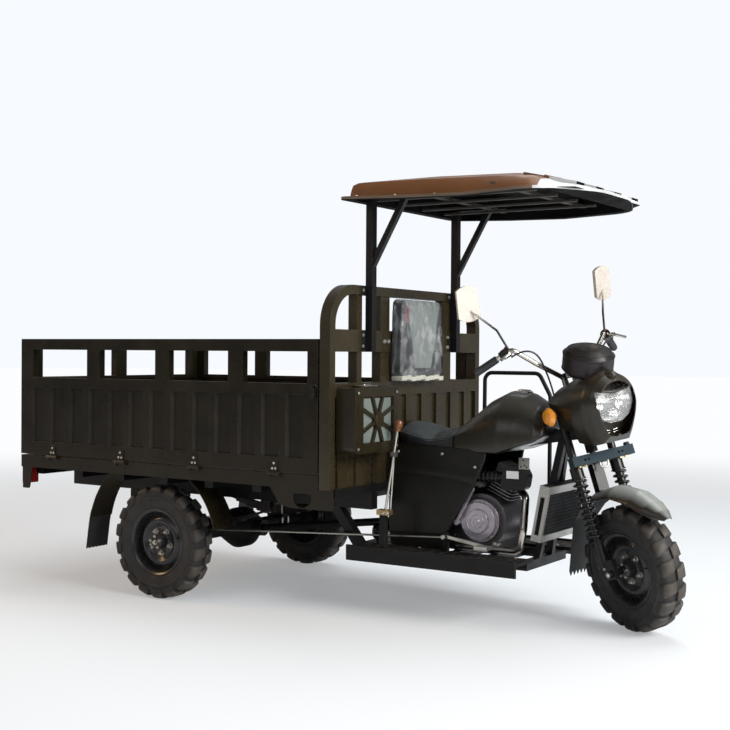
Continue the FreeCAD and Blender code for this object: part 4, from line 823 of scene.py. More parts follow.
def checker_plate():
    """Olive steel plate with raised diamonds, laid crosswise in turn."""
    make = Finish("checker_plate", 0.42)
    heights = []
    for turn in (0.7854, -0.7854):
        grid = make.node("ShaderNodeMapping")
        grid.inputs["Rotation"].default_value = (0, 0, turn)
        grid.inputs["Scale"].default_value = (26, 74, 1)
        make.link(make.place, grid.inputs["Vector"])
        cell = make.node("ShaderNodeTexVoronoi", feature="F1", distance="EUCLIDEAN")
        cell.inputs["Randomness"].default_value = 0.0
        cell.inputs["Scale"].default_value = 1.0
        make.link(grid.outputs["Vector"], cell.inputs["Vector"])
        heights.append(make.spread(cell.outputs["Distance"], 0.18, 0.30, 1.0, 0.0))
    raised = make.node("ShaderNodeMath", operation="MAXIMUM")
    make.link(heights[0], raised.inputs[0])
    make.link(heights[1], raised.inputs[1])
    tone = make.mix(
        make.spread(make.noise(3.0, 6.0), 0.35, 0.7), (0.026, 0.024, 0.012), (0.045, 0.040, 0.022)
    )
    tone = make.mix(
        make.times(make.spread(make.noise(18.0, 7.0), 0.42, 0.75), make.upward(0.3, 0.9)),
        tone,
        DUST,
    )
    tone = make.mix(
        make.times(raised.outputs[0], make.times(make.spread(make.noise(9.0), 0.4, 0.7), 0.5)),
        tone,
        (0.13, 0.12, 0.10),
    )
    gloss = make.spread(make.noise(12.0, 5.0), 0.3, 0.7, 0.36, 0.62)
    return make.finish(tone, gloss, raised.outputs[0], 0.0012)


olive = olive_finish("olive_paint")
checker = checker_plate()
floor_piece = dressed("bed_floor", olive, "chassis", 20)
floor_piece.data.materials.append(checker)
floor_top_z = max(vert.co.z for vert in floor_piece.data.vertices)
for face in floor_piece.data.polygons:
    if face.normal.z > 0.9 and face.center.z > floor_top_z - 0.003:
        face.material_index = 1
dressed("rear_fenders", olive, "chassis", 25)
flap_rubber = plain_rubber("flap_rubber", (0.012, 0.012, 0.013), 0.62)
dressed("rear_mudflaps", flap_rubber, "chassis", 25)


def red_glass():
    make = Finish("red_lens", 0.12)
    make.body.inputs["Coat Weight"].default_value = 0.6
    rows = make.node("ShaderNodeTexWave", wave_type="BANDS", bands_direction="Y")
    rows.inputs["Scale"].default_value = 60.0
    make.link(make.place, rows.inputs["Vector"])
    tone = make.mix(make.spread(make.noise(20.0), 0.3, 0.7), (0.30, 0.008, 0.006), (0.42, 0.016, 0.010))
    gloss = make.spread(make.noise(30.0), 0.3, 0.7, 0.08, 0.22)
    return make.finish(tone, gloss, rows.outputs["Color"], 0.0010)


wear_node("tail_lamps", red_glass())
lamp_low, lamp_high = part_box("tail_lamps")
bezels = bmesh.new()
for side in (-1, 1):
    inner, outer = sorted((side * (lamp_high.y - 0.080), side * lamp_high.y))
    add_box(
        bezels,
        (lamp_low.x + 0.004, inner - 0.003, lamp_low.z - 0.003),
        (lamp_high.x - 0.004, outer + 0.003, lamp_high.z),
        bevel=0.002,
    )
    for y in (inner + 0.020, outer - 0.020):
        add_prism(bezels, 10, 0.0032, (lamp_low.x + 0.001, y, lamp_low.z + 0.042), (-1, 0, 0), 0.002)
piece(
    "lamp_bezels",
    bezels,
    plain_rubber("lamp_plastic", (0.010, 0.010, 0.011), 0.4),
    "chassis",
)


# Drop sides and tailgate: box-section posts and top rail over a pressed panel with upright ribs. Zinc
# bolts hold each hinge leaf, and a black hook latch ties the side gates to the headboard.
SIDE_HINGES = 4
TAIL_HINGES = 3


def row_tree():
    """Copies the given mesh along a straight line with equal steps."""
    numbers = {"Count": 4, "Step X": 0.1, "Step Y": 0.0, "Step Z": 0.0}
    tree, given, result = tree_with("row_of_copies", numbers)
    line = tree.nodes.new("GeometryNodeMeshLine")
    step = tree.nodes.new("ShaderNodeCombineXYZ")
    for axis in "XYZ":
        tree.links.new(given.outputs["Step " + axis], step.inputs[axis])
    tree.links.new(given.outputs["Count"], line.inputs["Count"])
    tree.links.new(step.outputs[0], line.inputs["Offset"])
    copies = tree.nodes.new("GeometryNodeInstanceOnPoints")
    tree.links.new(line.outputs["Mesh"], copies.inputs["Points"])
    tree.links.new(given.outputs["Geometry"], copies.inputs["Instance"])
    end_tree(tree, given, result, copies.outputs["Instances"])
    return tree


row = row_tree()


def repeated(name, shape, values, material, body):
    """A piece that is one mesh copied along a row."""
    made = grown(name, shape_mesh(name, shape), row, values, material)
    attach(made, body)
    return made


for node, body, side in (("side_gate_right", "right_gate", -1), ("side_gate_left", "left_gate", 1)):
    dressed(node, olive, body, 20)
    low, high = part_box(node)
    outer = low.y if side < 0 else high.y
    face_y = outer - side * 0.017
    base_z = low.z + 0.016
    pitch = (high.x - low.x) / SIDE_HINGES
    bolts = bmesh.new()
    for x, z in ((-0.009, 0.014), (0.009, 0.014), (0.0, 0.038)):
        add_bolt(
            bolts,
            (low.x + pitch / 2 + x, face_y + side * 0.005, base_z + z),
            (0, side, 0),
            0.009,
            0.0035,
        )
    values = {"Count": SIDE_HINGES, "Step X": pitch}
    repeated(node + "_bolts", bolts, values, zinc_plate, body)
    latch = bmesh.new()
    latch_x = high.x - 0.024
    add_box(
        latch,
        (latch_x - 0.011, face_y + min(0, side * 0.016), 0.996),
        (latch_x + 0.011, face_y + max(0, side * 0.016), 1.052),
        bevel=0.003,
    )
    hook = [(latch_x, face_y + side * 0.013, 1.046), (latch_x + 0.004, face_y + side * 0.020, 1.058)]
    hook += [(latch_x + 0.022, face_y + side * 0.014, 1.061), (latch_x + 0.023, face_y + side * 0.006, 1.050)]
    add_tube(latch, rounded_path(hook, 0.008), 0.0045)
    add_bolt(latch, (latch_x, face_y + side * 0.016, 1.016), (0, side, 0), 0.013, 0.004)
    piece(node + "_latch", latch, dirty_black, body)

dressed("tail_gate", olive, "rear_gate", 20)
low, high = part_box("tail_gate")
pitch = (high.y - low.y) / TAIL_HINGES
bolts = bmesh.new()
for y, z in ((-0.009, 0.014), (0.009, 0.014), (0.0, 0.038)):
    add_bolt(bolts, (low.x + 0.012, low.y + pitch / 2 + y, low.z + 0.016 + z), (-1, 0, 0), 0.009, 0.0035)
repeated(
    "tail_gate_bolts",
    bolts,
    {"Count": TAIL_HINGES, "Step X": 0.0, "Step Y": pitch},
    zinc_plate,
    "rear_gate",
)


# Headboard and canopy frame: a bent tube arch with rails and a pressed panel, olive, bolted to two black
# posts whose braces carry the roof. The bolts are zinc, three beside each post and two on the rail.
BOLT_ACROSS = 0.017
_, board_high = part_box("headboard")
# Painted light: the headboard's olive is 2.6 times the body olive, a lit copy of the same paint.
dressed("headboard", olive_finish("headboard_paint", 0.26, 0.5, 0.10, 2.6), "chassis", 20)
dressed("canopy_frame", black_enamel, "chassis", 20)
bolts = bmesh.new()
for y, z in (
    (-0.440, 1.233), (-0.440, 1.283), (-0.440, 1.487), (-0.352, 1.236), (-0.352, 1.281),
    (-0.360, 1.487),
):
    add_bolt(bolts, (board_high.x, y, z), (1, 0, 0), BOLT_ACROSS, 0.008)
for y, z in (
    (-0.215, 1.256), (-0.252, 1.256), (0.352, 1.233), (0.352, 1.283), (0.360, 1.487), (0.440, 1.487)
):
    add_bolt(bolts, (board_high.x, y, z), (1, 0, 0), BOLT_ACROSS, 0.008)
piece("headboard_bolts", bolts, zinc_plate, "chassis")
flanges = bmesh.new()
for side in (-1, 1):
    y = side * 0.400
    for z0, z1 in ((1.212, 1.300), (1.462, 1.504)):
        add_box(flanges, (board_high.x, y - 0.054, z0), (board_high.x + 0.0026, y + 0.054, z1), bevel=0.001)
piece("post_flanges", flanges, black_enamel, "chassis")


# Canopy roof: moulded plastic sheet with a raised tan-brown panel, its colour partly a painted warm
# reflection, a pale lip all round and a pale grey visor with scalloped ribs. The underside is painted near
# black as painted shade, with four grey battens running along it.
# The panel's tan-brown is partly the plastic's own brown and partly a painted warm reflection.
PANEL_TAN_WARM_REFLECTION = (0.135, 0.050, 0.013)
LIP_PALE = (0.12, 0.085, 0.058)
VISOR_GREY = (0.52, 0.53, 0.54)
# Painted shade: the roof's underside, inner faces and rear wall are coloured near black.
UNDER_PAINTED_SHADE = (0.0022, 0.0018, 0.0017)
VISOR_FROM = 1.922
RIB_LINES = (0.105, 0.315)
RIB_HALF = 0.041
BATTEN_HALF = 0.009
LIP_LINE = [(0.965, 1.905), (1.300, 1.891), (1.600, 1.884), (1.955, 1.896), (2.080, 1.908)]


def moulded(name, colour, rough, dust=0.25, shine=0.4):
    """Moulded plastic sheet: soft mottling, fine grain, dust, rubbed streaks along its length and a painted
    highlight on its edges.
    """
    make = Finish(name, rough)
    make.body.inputs["Coat Weight"].default_value = 0.12 * shine
    make.body.inputs["Specular IOR Level"].default_value = shine
    tone = make.mix(
        make.spread(make.noise(2.6, 6.0), 0.32, 0.7),
        tuple(c * 0.84 for c in colour),
        tuple(min(1, c * 1.16) for c in colour),
    )
    streaks = make.spread(make.noise(5.0, 7.0, (0.25, 2.4, 1.0)), 0.50, 0.78)
    tone = make.mix(make.times(streaks, 0.35), tone, tuple(min(1, c * 1.5 + 0.02) for c in colour))
    settled = make.times(
        make.times(make.spread(make.noise(30.0, 7.0), 0.46, 0.80), make.upward(0.5, 0.98)), dust
    )
    tone = make.mix(settled, tone, (0.28, 0.25, 0.21))
    gloss = make.spread(make.noise(11.0, 6.0), 0.3, 0.72, rough - 0.08, rough + 0.14)
    normal, rim = make.edges(0.003)
    # Painted highlight: edges are mixed towards a much paler tone.
    tone = make.mix(make.times(rim, 0.7), tone, tuple(min(1, c * 2.2 + 0.05) for c in colour))
    return make.finish(tone, gloss, make.noise(130.0, 5.0), 0.0005, normal)


roof = dressed("canopy_roof", moulded("roof_panel", PANEL_TAN_WARM_REFLECTION, 0.38, 0.12), "chassis", 30)
halves = bmesh.new()
halves.from_mesh(roof.data)
everything = halves.verts[:] + halves.edges[:] + halves.faces[:]
visor_line = (REAR_AXLE_X + VISOR_FROM, 0, 0)
bmesh.ops.bisect_plane(halves, geom=everything, dist=0.0001, plane_co=visor_line, plane_no=(1, 0, 0))
halves.to_mesh(roof.data)
halves.free()
for finish in (
    moulded("roof_lip", LIP_PALE, 0.45),
    moulded("roof_visor", VISOR_GREY, 0.40, 0.12),
    moulded("roof_underside", UNDER_PAINTED_SHADE, 0.70, 0.0, 0.08),
):
    roof.data.materials.append(finish)


def above_lip(place):
    """Height over the lip's upper face at this place along the roof."""
    ahead = place.x - REAR_AXLE_X
    for (x0, z0), (x1, z1) in zip(LIP_LINE, LIP_LINE[1:]):
        if ahead < x1:
            break
    return place.z - (z0 + (z1 - z0) * (ahead - x0) / (x1 - x0))


for face in roof.data.polygons:
    corners = [roof.data.vertices[i].co for i in face.vertices]
    ahead = min(corner.x for corner in corners) - REAR_AXLE_X
    high = max(above_lip(corner) for corner in corners)
    across = abs(face.center.y)
    inward = face.normal.y * face.center.y < 0 and across > 0.40 and abs(face.normal.y) > 0.3
    rear_wall = face.normal.x > 0.3 and face.center.x - REAR_AXLE_X < 1.08
    from_rib = min(abs(across - line) for line in RIB_LINES)
    on_rib = from_rib < RIB_HALF and ahead > 1.79 and high > 0.015
    # Faces looking down or inward under the roof take the near-black painted shade.
    if face.normal.z < -0.15 or inward or rear_wall:
        face.material_index = 3
    elif ahead > VISOR_FROM - 0.001 or on_rib:
        face.material_index = 2
    elif high < 0.0015:
        face.material_index = 1
roof_low, roof_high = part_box("canopy_roof")
battens = bmesh.new()
for y in (-0.330, -0.110, 0.110, 0.330):
    add_box(
        battens,
        (roof_low.x + 0.070, y - BATTEN_HALF, 1.898),
        (roof_high.x - 0.230, y + BATTEN_HALF, 1.910),
        bevel=0.003,
    )
for x in (roof_low.x + 0.330, roof_low.x + 0.760):
    add_box(battens, (x - 0.014, -0.490, 1.912), (x + 0.014, 0.490, 1.928), bevel=0.003)
piece(
    "roof_battens",
    battens,
    moulded("batten_grey", (0.055, 0.050, 0.043), 0.5, 0.0, 0.2),
    "chassis",
)
screws = bmesh.new()
for side in (-1, 1):
    for i in range(5):
        x = roof_low.x + 0.10 + i * 0.20
        add_bolt(
            screws,
            (x, side * 0.528, 1.904 - 0.020 * math.sin(min(1, i / 3) * 1.5)),
            (0, 0, 1),
            0.010,
            0.003,
        )
piece("roof_screws", screws, zinc_plate, "chassis")


# Tool box: pressed steel, olive, bolted to the headboard, its spoked cover standing in front of a pale
# grey liner, with a blank round boss in the middle and a silver latch on top.
box_low, box_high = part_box("tool_box")
# Painted light: the tool box's olive is 1.7 times the body olive, a lit copy of the same paint.
lit_box_paint = olive_finish("tool_box_paint", 0.30, 0.3, 0.12, 1.7)
dressed("tool_box", lit_box_paint, "chassis", 25)
liner = bmesh.new()
opening_low = Vector((box_high.x - 0.0240, box_low.y + 0.070, box_low.z + 0.045))
opening_high = Vector((box_high.x - 0.0195, box_high.y - 0.045, box_high.z - 0.055))
add_box(liner, opening_low, opening_high)
piece(
    "tool_box_liner",
    liner,
    moulded("liner_grey", (0.145, 0.17, 0.155), 0.5, 0.0),
    "chassis",
)
boss_at = Vector((box_high.x, (opening_low.y + opening_high.y) / 2, (opening_low.z + opening_high.z) / 2))
boss = bmesh.new()
add_prism(boss, 48, 0.036, boss_at - Vector((0.006, 0, 0)), (1, 0, 0), 0.0070, 0.0345)
add_prism(boss, 40, 0.027, boss_at + Vector((0.0010, 0, 0)), (1, 0, 0), 0.0012, 0.0262)
piece("tool_box_boss", boss, lit_box_paint, "chassis")
hardware = bmesh.new()
latch_y = (box_low.y + box_high.y) / 2 - 0.010
add_box(
    hardware,
    (box_high.x - 0.078, latch_y - 0.058, box_high.z - 0.004),
    (box_high.x - 0.026, latch_y + 0.048, box_high.z + 0.0022),
    bevel=0.0012,
)
add_tube(
    hardware,
    rounded_path(
        [
            (box_high.x - 0.060, latch_y - 0.03, box_high.z),
            (box_high.x - 0.05, latch_y - 0.03, box_high.z + 0.006),
            (box_high.x - 0.05, latch_y + 0.03, box_high.z + 0.006),
            (box_high.x - 0.060, latch_y + 0.03, box_high.z),
        ],
        0.008,
    ),
    0.0028,
)
for y in (box_low.y + 0.024, box_high.y - 0.020):
    for z in (box_low.z + 0.022, box_high.z - 0.030):
        add_bolt(hardware, (box_high.x - 0.0005, y, z), (1, 0, 0), 0.011, 0.0035)
piece("tool_box_hardware", hardware, zinc_plate, "chassis")


# Backrest and saddle: foam under black vinyl. The backrest keeps its clear shipping wrap, crumpled and
# tucked into a white fold below; the saddle has a sewn welt between its top and its sides.
PAD_VOXEL = 0.0055
SADDLE_CAP = 0.0055
BACKREST_CAP = 0.0065
WRAP_GAP = 0.0015
WRAP_CRUMPLE = 0.0012
PAD_PRESSURE = 4.0
PAD_FRAMES = 20
WELT_R = 0.0030
SADDLE_WELT = [
    (1.056, 0.118, 0.838), (1.082, 0.163, 0.835), (1.130, 0.188, 0.823), (1.190, 0.196, 0.812),
    (1.250, 0.198, 0.803), (1.310, 0.196, 0.808), (1.352, 0.194, 0.818), (1.376, 0.191, 0.826),
]


def plumped(name, node, material, inset, cap, resting):
    """Swell a slightly smaller copy of a soft CAD solid with cloth under pressure, and keep the result."""
    shape = bmesh.new()
    shape.from_mesh(nodes[node].data)
    bmesh.ops.remove_doubles(shape, verts=shape.verts, dist=0.00002)
    mesh = bpy.data.meshes.new(name)
    shape.to_mesh(mesh)
    shape.free()
    pad = new_object(name, mesh, material)
    even = pad.modifiers.new("even", "REMESH")
    even.mode = "VOXEL"
    even.voxel_size = PAD_VOXEL
    relax = pad.modifiers.new("relax", "SMOOTH")
    relax.factor = 0.5
    relax.iterations = 6
    bpy.context.view_layer.update()
    view = bpy.context.evaluated_depsgraph_get()
    even_mesh = bpy.data.meshes.new_from_object(pad.evaluated_get(view), depsgraph=view)
    pad.modifiers.clear()
    pad.data = even_mesh
    normals = [vert.normal.copy() for vert in even_mesh.vertices]
    for vert, normal in zip(even_mesh.vertices, normals):
        vert.co -= normal * inset
    start = [vert.co.copy() for vert in even_mesh.vertices]
    held = pad.vertex_groups.new(name="held")
    held.add([vert.index for vert in even_mesh.vertices if resting(vert.co)], 1.0, "REPLACE")
    cloth = pad.modifiers.new("swell", "CLOTH")
    cloth.settings.vertex_group_mass = "held"
    cloth.settings.use_pressure = True
    cloth.settings.uniform_pressure_force = PAD_PRESSURE
    cloth.settings.effector_weights.gravity = 0.0
    cloth.settings.quality = 4
    cloth.point_cache.frame_start = 1
    cloth.point_cache.frame_end = PAD_FRAMES
    for step in range(1, PAD_FRAMES + 1):
        scene.frame_set(step)
    view = bpy.context.evaluated_depsgraph_get()
    swollen = pad.evaluated_get(view).data
    ends = [vert.co.copy() for vert in swollen.vertices]
    pad.modifiers.clear()
    pad.vertex_groups.clear()
    for vert, first, last in zip(even_mesh.vertices, start, ends):
        move = last - first
        vert.co = first + move * min(1.0, cap / max(move.length, 1e-6))
    scene.frame_set(1)
    finer = pad.modifiers.new("finer", "SUBSURF")
    finer.levels = 1
    finer.render_levels = 1
    bpy.context.view_layer.update()
    view = bpy.context.evaluated_depsgraph_get()
    pad.data = bpy.data.meshes.new_from_object(pad.evaluated_get(view), depsgraph=view)
    pad.modifiers.clear()
    pad.data.materials.clear()
    pad.data.materials.append(material)
    pad.data.shade_smooth()
    return pad


def vinyl(name, colour, painted_sheen):
    """Black vinyl with a fine leather grain, soft creases and a pale blue-grey painted sheen on what faces
    up, a painted highlight.
    """
    make = Finish(name, 0.42)
    make.body.inputs["Coat Weight"].default_value = 0.25
    make.body.inputs["Coat Roughness"].default_value = 0.30
    tone = make.mix(
        make.spread(make.noise(4.0, 5.0), 0.35, 0.7), colour, tuple(c * 1.6 + 0.003 for c in colour)
    )
    # Painted highlight: faces that look up are mixed towards a pale blue-grey, standing in for reflected sky.
    top = make.times(make.upward(0.55, 1.0), make.spread(make.noise(7.0, 6.0), 0.25, 0.75, 0.55, 1.0))
    tone = make.mix(make.times(top, painted_sheen), tone, (0.150, 0.178, 0.192))
    gloss = make.spread(make.noise(12.0, 6.0), 0.3, 0.7, 0.34, 0.52)
    grain = make.node("ShaderNodeTexVoronoi", feature="DISTANCE_TO_EDGE")
    grain.inputs["Scale"].default_value = 420.0
    make.link(make.place, grain.inputs["Vector"])
    fine = make.spread(grain.outputs["Distance"], 0.0, 0.25)
    crease = make.spread(make.noise(11.0, 4.0, (1, 1, 2.2)), 0.3, 0.7)
    height = make.node("ShaderNodeMath", operation="MULTIPLY_ADD")
    make.link(crease, height.inputs[0])
    height.inputs[1].default_value = 3.0
    make.link(fine, height.inputs[2])
    return make.finish(tone, gloss, height.outputs[0], 0.0008)


def clear_wrap():
    """Thin clear film, crumpled, seen mostly by its broken highlights."""
    make = Finish("clear_wrap", 0.12)
    clear = make.spread(make.noise(22.0, 5.0, (1, 1, 0.7)), 0.46, 0.70, 0.04, 0.42)
    make.link(clear, make.body.inputs["Alpha"])
    make.body.inputs["Coat Weight"].default_value = 1.0
    make.body.inputs["Coat Roughness"].default_value = 0.05
    tone = make.mix(make.spread(make.noise(9.0), 0.35, 0.7), (0.62, 0.66, 0.70), (0.80, 0.82, 0.84))
    folds = make.node("ShaderNodeTexVoronoi", feature="DISTANCE_TO_EDGE")
    folds.inputs["Scale"].default_value = 16.0
    spread = make.node("ShaderNodeMapping")
    spread.inputs["Scale"].default_value = (1.0, 0.7, 1.5)
    make.link(make.place, spread.inputs["Vector"])
    wobble = make.node("ShaderNodeTexNoise")
    wobble.inputs["Scale"].default_value = 5.0
    make.link(make.place, wobble.inputs["Vector"])
    moved = make.node("ShaderNodeVectorMath", operation="MULTIPLY_ADD")
    make.link(wobble.outputs["Color"], moved.inputs[0])
    moved.inputs[1].default_value = (0.12, 0.12, 0.12)
    make.link(spread.outputs["Vector"], moved.inputs[2])
    make.link(moved.outputs[0], folds.inputs["Vector"])
    gloss = make.spread(make.noise(20.0), 0.3, 0.7, 0.06, 0.22)
    return make.finish(tone, gloss, folds.outputs["Distance"], 0.030)


black_vinyl = vinyl("black_vinyl", (0.010, 0.010, 0.011), 0.75)
seat_low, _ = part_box("saddle")
saddle = plumped(
    "saddle_pad", "saddle", black_vinyl, 0.004, SADDLE_CAP, lambda co: co.z < seat_low.z + 0.012
)
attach(saddle, "chassis")
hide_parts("saddle")
welt = bmesh.new()
for side in (-1, 1):
    route = [from_axle(x, side * (y - 0.001), z) for x, y, z in SADDLE_WELT]
    add_tube(welt, rounded_path(route, 0.03, 5), WELT_R, 8)
piece("saddle_welt", welt, vinyl("welt_vinyl", (0.016, 0.016, 0.018), 0.3), "chassis")

pad_vinyl = vinyl("backrest_vinyl", (0.020, 0.021, 0.023), 0.4)
rest_low, rest_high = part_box("backrest")
backrest = plumped(
    "backrest_pad", "backrest", pad_vinyl, 0.005, BACKREST_CAP, lambda co: co.x < rest_low.x + 0.010
)
for vert in backrest.data.vertices:
    vert.co.x = max(vert.co.x, rest_low.x)
for finish in (
    vinyl("backrest_panel", (0.145, 0.165, 0.158), 0.3),
    vinyl("backrest_patch", (0.115, 0.010, 0.022), 0.2),
):
    backrest.data.materials.append(finish)
rest_height = rest_high.z - rest_low.z
for face in backrest.data.polygons:
    rise = (face.center.z - rest_low.z) / rest_height
    half = 0.062 + 0.100 * rise
    patch_y = (face.center.y + 0.150 - 0.06 * (rise - 0.80)) / 0.016
    patch_z = (rise - 0.80) / 0.115
    if face.normal.x < 0.25:
        continue
    if patch_y ** 2 + patch_z ** 2 < 1:
        face.material_index = 2
    elif abs(face.center.y) < half and 0.14 < rise:
        face.material_index = 1
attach(backrest, "chassis")
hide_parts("backrest")
film_shape = bmesh.new()
film_shape.from_mesh(backrest.data)
far = [vert for vert in film_shape.verts if vert.co.x < rest_low.x + 0.012]
bmesh.ops.delete(film_shape, geom=far, context="VERTS")
crumple = random.Random(7)
phases = [(crumple.uniform(30, 70), crumple.uniform(0, 6.28), crumple.uniform(-1, 1)) for _ in range(6)]
for vert in film_shape.verts:
    lift = 0.0
    for pace, phase, slant in phases:
        lift += abs(math.sin(pace * (vert.co.z + slant * vert.co.y) + phase))
    vert.co += vert.normal * (WRAP_GAP + WRAP_CRUMPLE * lift)
piece("backrest_wrap", film_shape, clear_wrap(), "chassis", 80)
fold = bmesh.new()
for i in range(9):
    y = -0.176 + i * 0.044
    drop = 0.004 * math.sin(i * 2.1)
    add_box(
        fold,
        (rest_low.x + 0.006, y - 0.022, rest_low.z - 0.006 + drop),
        (rest_high.x + 0.004, y + 0.022, rest_low.z + 0.016 + drop),
        bevel=0.004,
    )
piece("backrest_fold", fold, moulded("white_fold", (0.50, 0.49, 0.42), 0.5, 0.0), "chassis")


# Fuel tank: pressed steel, dark olive, its two halves welded along the middle and its edges well
# rounded, with a chromed filler cap on top.
def softened(node, material, body, voxel, rounds):
    """A CAD solid's form with all its edges rounded, for pieces that are pressed or moulded."""
    shape = bmesh.new()
    shape.from_mesh(nodes[node].data)
    bmesh.ops.remove_doubles(shape, verts=shape.verts, dist=0.00002)
    mesh = bpy.data.meshes.new(node + "_dressed")
    shape.to_mesh(mesh)
    shape.free()
    made = new_object(node + "_dressed", mesh, material)
    even = made.modifiers.new("even", "REMESH")
    even.mode = "VOXEL"
    even.voxel_size = voxel
    relax = made.modifiers.new("relax", "SMOOTH")
    relax.factor = 0.5
    relax.iterations = rounds
    bpy.context.view_layer.update()
    view = bpy.context.evaluated_depsgraph_get()
    made.data = bpy.data.meshes.new_from_object(made.evaluated_get(view), depsgraph=view)
    made.modifiers.clear()
    made.data.materials.clear()
    made.data.materials.append(material)
    made.data.shade_smooth()
    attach(made, body)
    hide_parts(node)
    return made


def gloss_olive(name, painted_sheen, amount, low=0.45, high=0.95):
    """Fresh glossy olive whose upper faces take a pale painted sheen, a painted reflection of the sky, with
    fine dust specks.
    """
    make = Finish(name, 0.20)
    make.body.inputs["Coat Weight"].default_value = 0.35
    make.body.inputs["Coat Roughness"].default_value = 0.22
    make.body.inputs["Specular IOR Level"].default_value = 0.35
    tone = make.mix(
        make.spread(make.noise(2.6, 5.0), 0.35, 0.7),
        tuple(c * 0.85 for c in OLIVE),
        tuple(c * 1.25 for c in OLIVE),
    )
    # Painted reflection: faces that look up are mixed towards the pale sheen colour.
    top = make.times(make.upward(low, high), make.spread(make.noise(5.0, 7.0), 0.2, 0.75, 0.55, 1.0))
    tone = make.mix(make.times(top, amount), tone, painted_sheen)
    speck = make.times(make.spread(make.noise(60.0, 6.0), 0.52, 0.72), 0.05)
    tone = make.mix(speck, tone, DUST)
    normal, rim = make.edges(0.002)
    tone = make.mix(make.times(rim, 0.5), tone, OLIVE_EDGE)
    gloss = make.spread(make.noise(8.0, 6.0), 0.3, 0.7, 0.24, 0.40)
    return make.finish(tone, gloss, make.noise(300.0, 3.0), 0.0002, normal)


# The tank's top takes a pale grey-brown painted sheen, a painted reflection of the sky.
tank_paint = gloss_olive("tank_paint", (0.20, 0.19, 0.165), 0.70, 0.50, 0.96)
softened("fuel_tank", tank_paint, "chassis", 0.0055, 9)
cap_at = from_axle(1.648, 0.0, 1.030)
cap = bmesh.new()
cap_up = Vector((0.06, 0, 1)).normalized()
add_prism(cap, 40, 0.040, cap_at - cap_up * 0.020, cap_up, 0.022, 0.038)
add_prism(cap, 40, 0.031, cap_at, cap_up, 0.009, 0.028)
piece("filler_cap", cap, metal("cap_chrome", (0.62, 0.62, 0.60), 0.18), "chassis")


# Side covers: moulded black plastic panels under the saddle, each with an oval finger hole, a rolled
# edge and three silver screws into the frame.
COVER_BLACK = (0.0062, 0.0056, 0.0036)
COVER_SWELL = 0.0045
COVER_CREASE = 0.0030
cover_low, cover_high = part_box("side_covers")
cover_plastic = painted(
    "cover_plastic",
    COVER_BLACK,
    rough=0.42,
    coat=0.08,
    dust=0.15,
    wear=0.5,
    bare=(0.06, 0.058, 0.05),
    edge=0.003,
)
covers = softened("side_covers", cover_plastic, "chassis", 0.0045, 5)
for vert in covers.data.vertices:
    if abs(vert.co.y) > cover_high.y - 0.003:
        along = (vert.co.x - cover_low.x) / (cover_high.x - cover_low.x)
        rise = (vert.co.z - cover_low.z) / (cover_high.z - cover_low.z)
        swell = max(0.0, math.sin(math.pi * along) * math.sin(math.pi * min(1.0, rise * 1.25)))
        crease = math.exp(-((rise - 0.80 + 0.10 * along) / 0.05) ** 2)
        vert.co.y += math.copysign(COVER_SWELL * swell - COVER_CREASE * crease, vert.co.y)
trim = bmesh.new()
screws = bmesh.new()
for side in (-1, 1):
    face_y = side * cover_high.y
    oval = [
        from_axle(1.468 + 0.013 * math.cos(a * math.pi / 12), 0, 0.723 + 0.008 * math.sin(a * math.pi / 12))
        for a in range(25)
    ]
    add_tube(trim, [Vector((p.x, face_y, p.z)) for p in oval], 0.0022, 6)
    for x, z in ((1.095, 0.742), (1.330, 0.742), (1.500, 0.690)):
        place = from_axle(x, 0, z)
        add_prism(screws, 16, 0.0075, (place.x, face_y, place.z), (0, side, 0), 0.0030, 0.0058)
    edge = [
        (1.050, 0.440), (1.058, 0.300), (1.340, 0.300), (1.352, 0.384), (1.398, 0.470),
        (1.486, 0.600), (1.534, 0.712),
    ]
    route = [from_axle(x, 0, z) for x, z in edge]
    add_tube(
        trim,
        rounded_path([Vector((p.x, face_y - side * 0.001, p.z)) for p in route], 0.03, 5),
        0.0030,
        8,
    )
piece("cover_trim", trim, cover_plastic, "chassis")
piece("cover_screws", screws, zinc_plate, "chassis")


# Footboards: folded steel plate with a turned-down edge, black, with raised tread bars pressed across it
# and bolts along the inner side.
BOARD_BARS = 16
board_low, board_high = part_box("footboards")
dressed("footboards", dirty_black, "chassis", 20)
bar = bmesh.new()
for side in (-1, 1):
    inner, outer = sorted((side * (board_high.y - 0.150), side * (board_high.y - 0.024)))
    add_box(
        bar,
        (board_low.x + 0.050, inner, board_high.z - 0.012),
        (board_low.x + 0.066, outer, board_high.z - 0.0072),
        bevel=0.002,
    )
board_step = (board_high.x - board_low.x - 0.115) / (BOARD_BARS - 1)
repeated(
    "board_bars",
    bar,
    {"Count": BOARD_BARS, "Step X": board_step},
    dirty_black,
    "chassis",
)
bolts = bmesh.new()
for side in (-1, 1):
    for x in (board_low.x + 0.10, board_low.x + 0.30, board_low.x + 0.59, board_high.x - 0.075):
        add_bolt(bolts, (x, side * (board_high.y - 0.162), board_high.z - 0.0098), (0, 0, 1), 0.014, 0.006)
piece("board_bolts", bolts, zinc_plate, "chassis")


# Engine: one cylinder, leaning forward, on a cast aluminium crankcase with stepped round covers held by
# small screws, with its kick lever on the right. Black plastic intake and filter, chromed pipe below.
CASE_GREY = (0.48, 0.44, 0.49)
COVER_SIDE_Y = -0.126


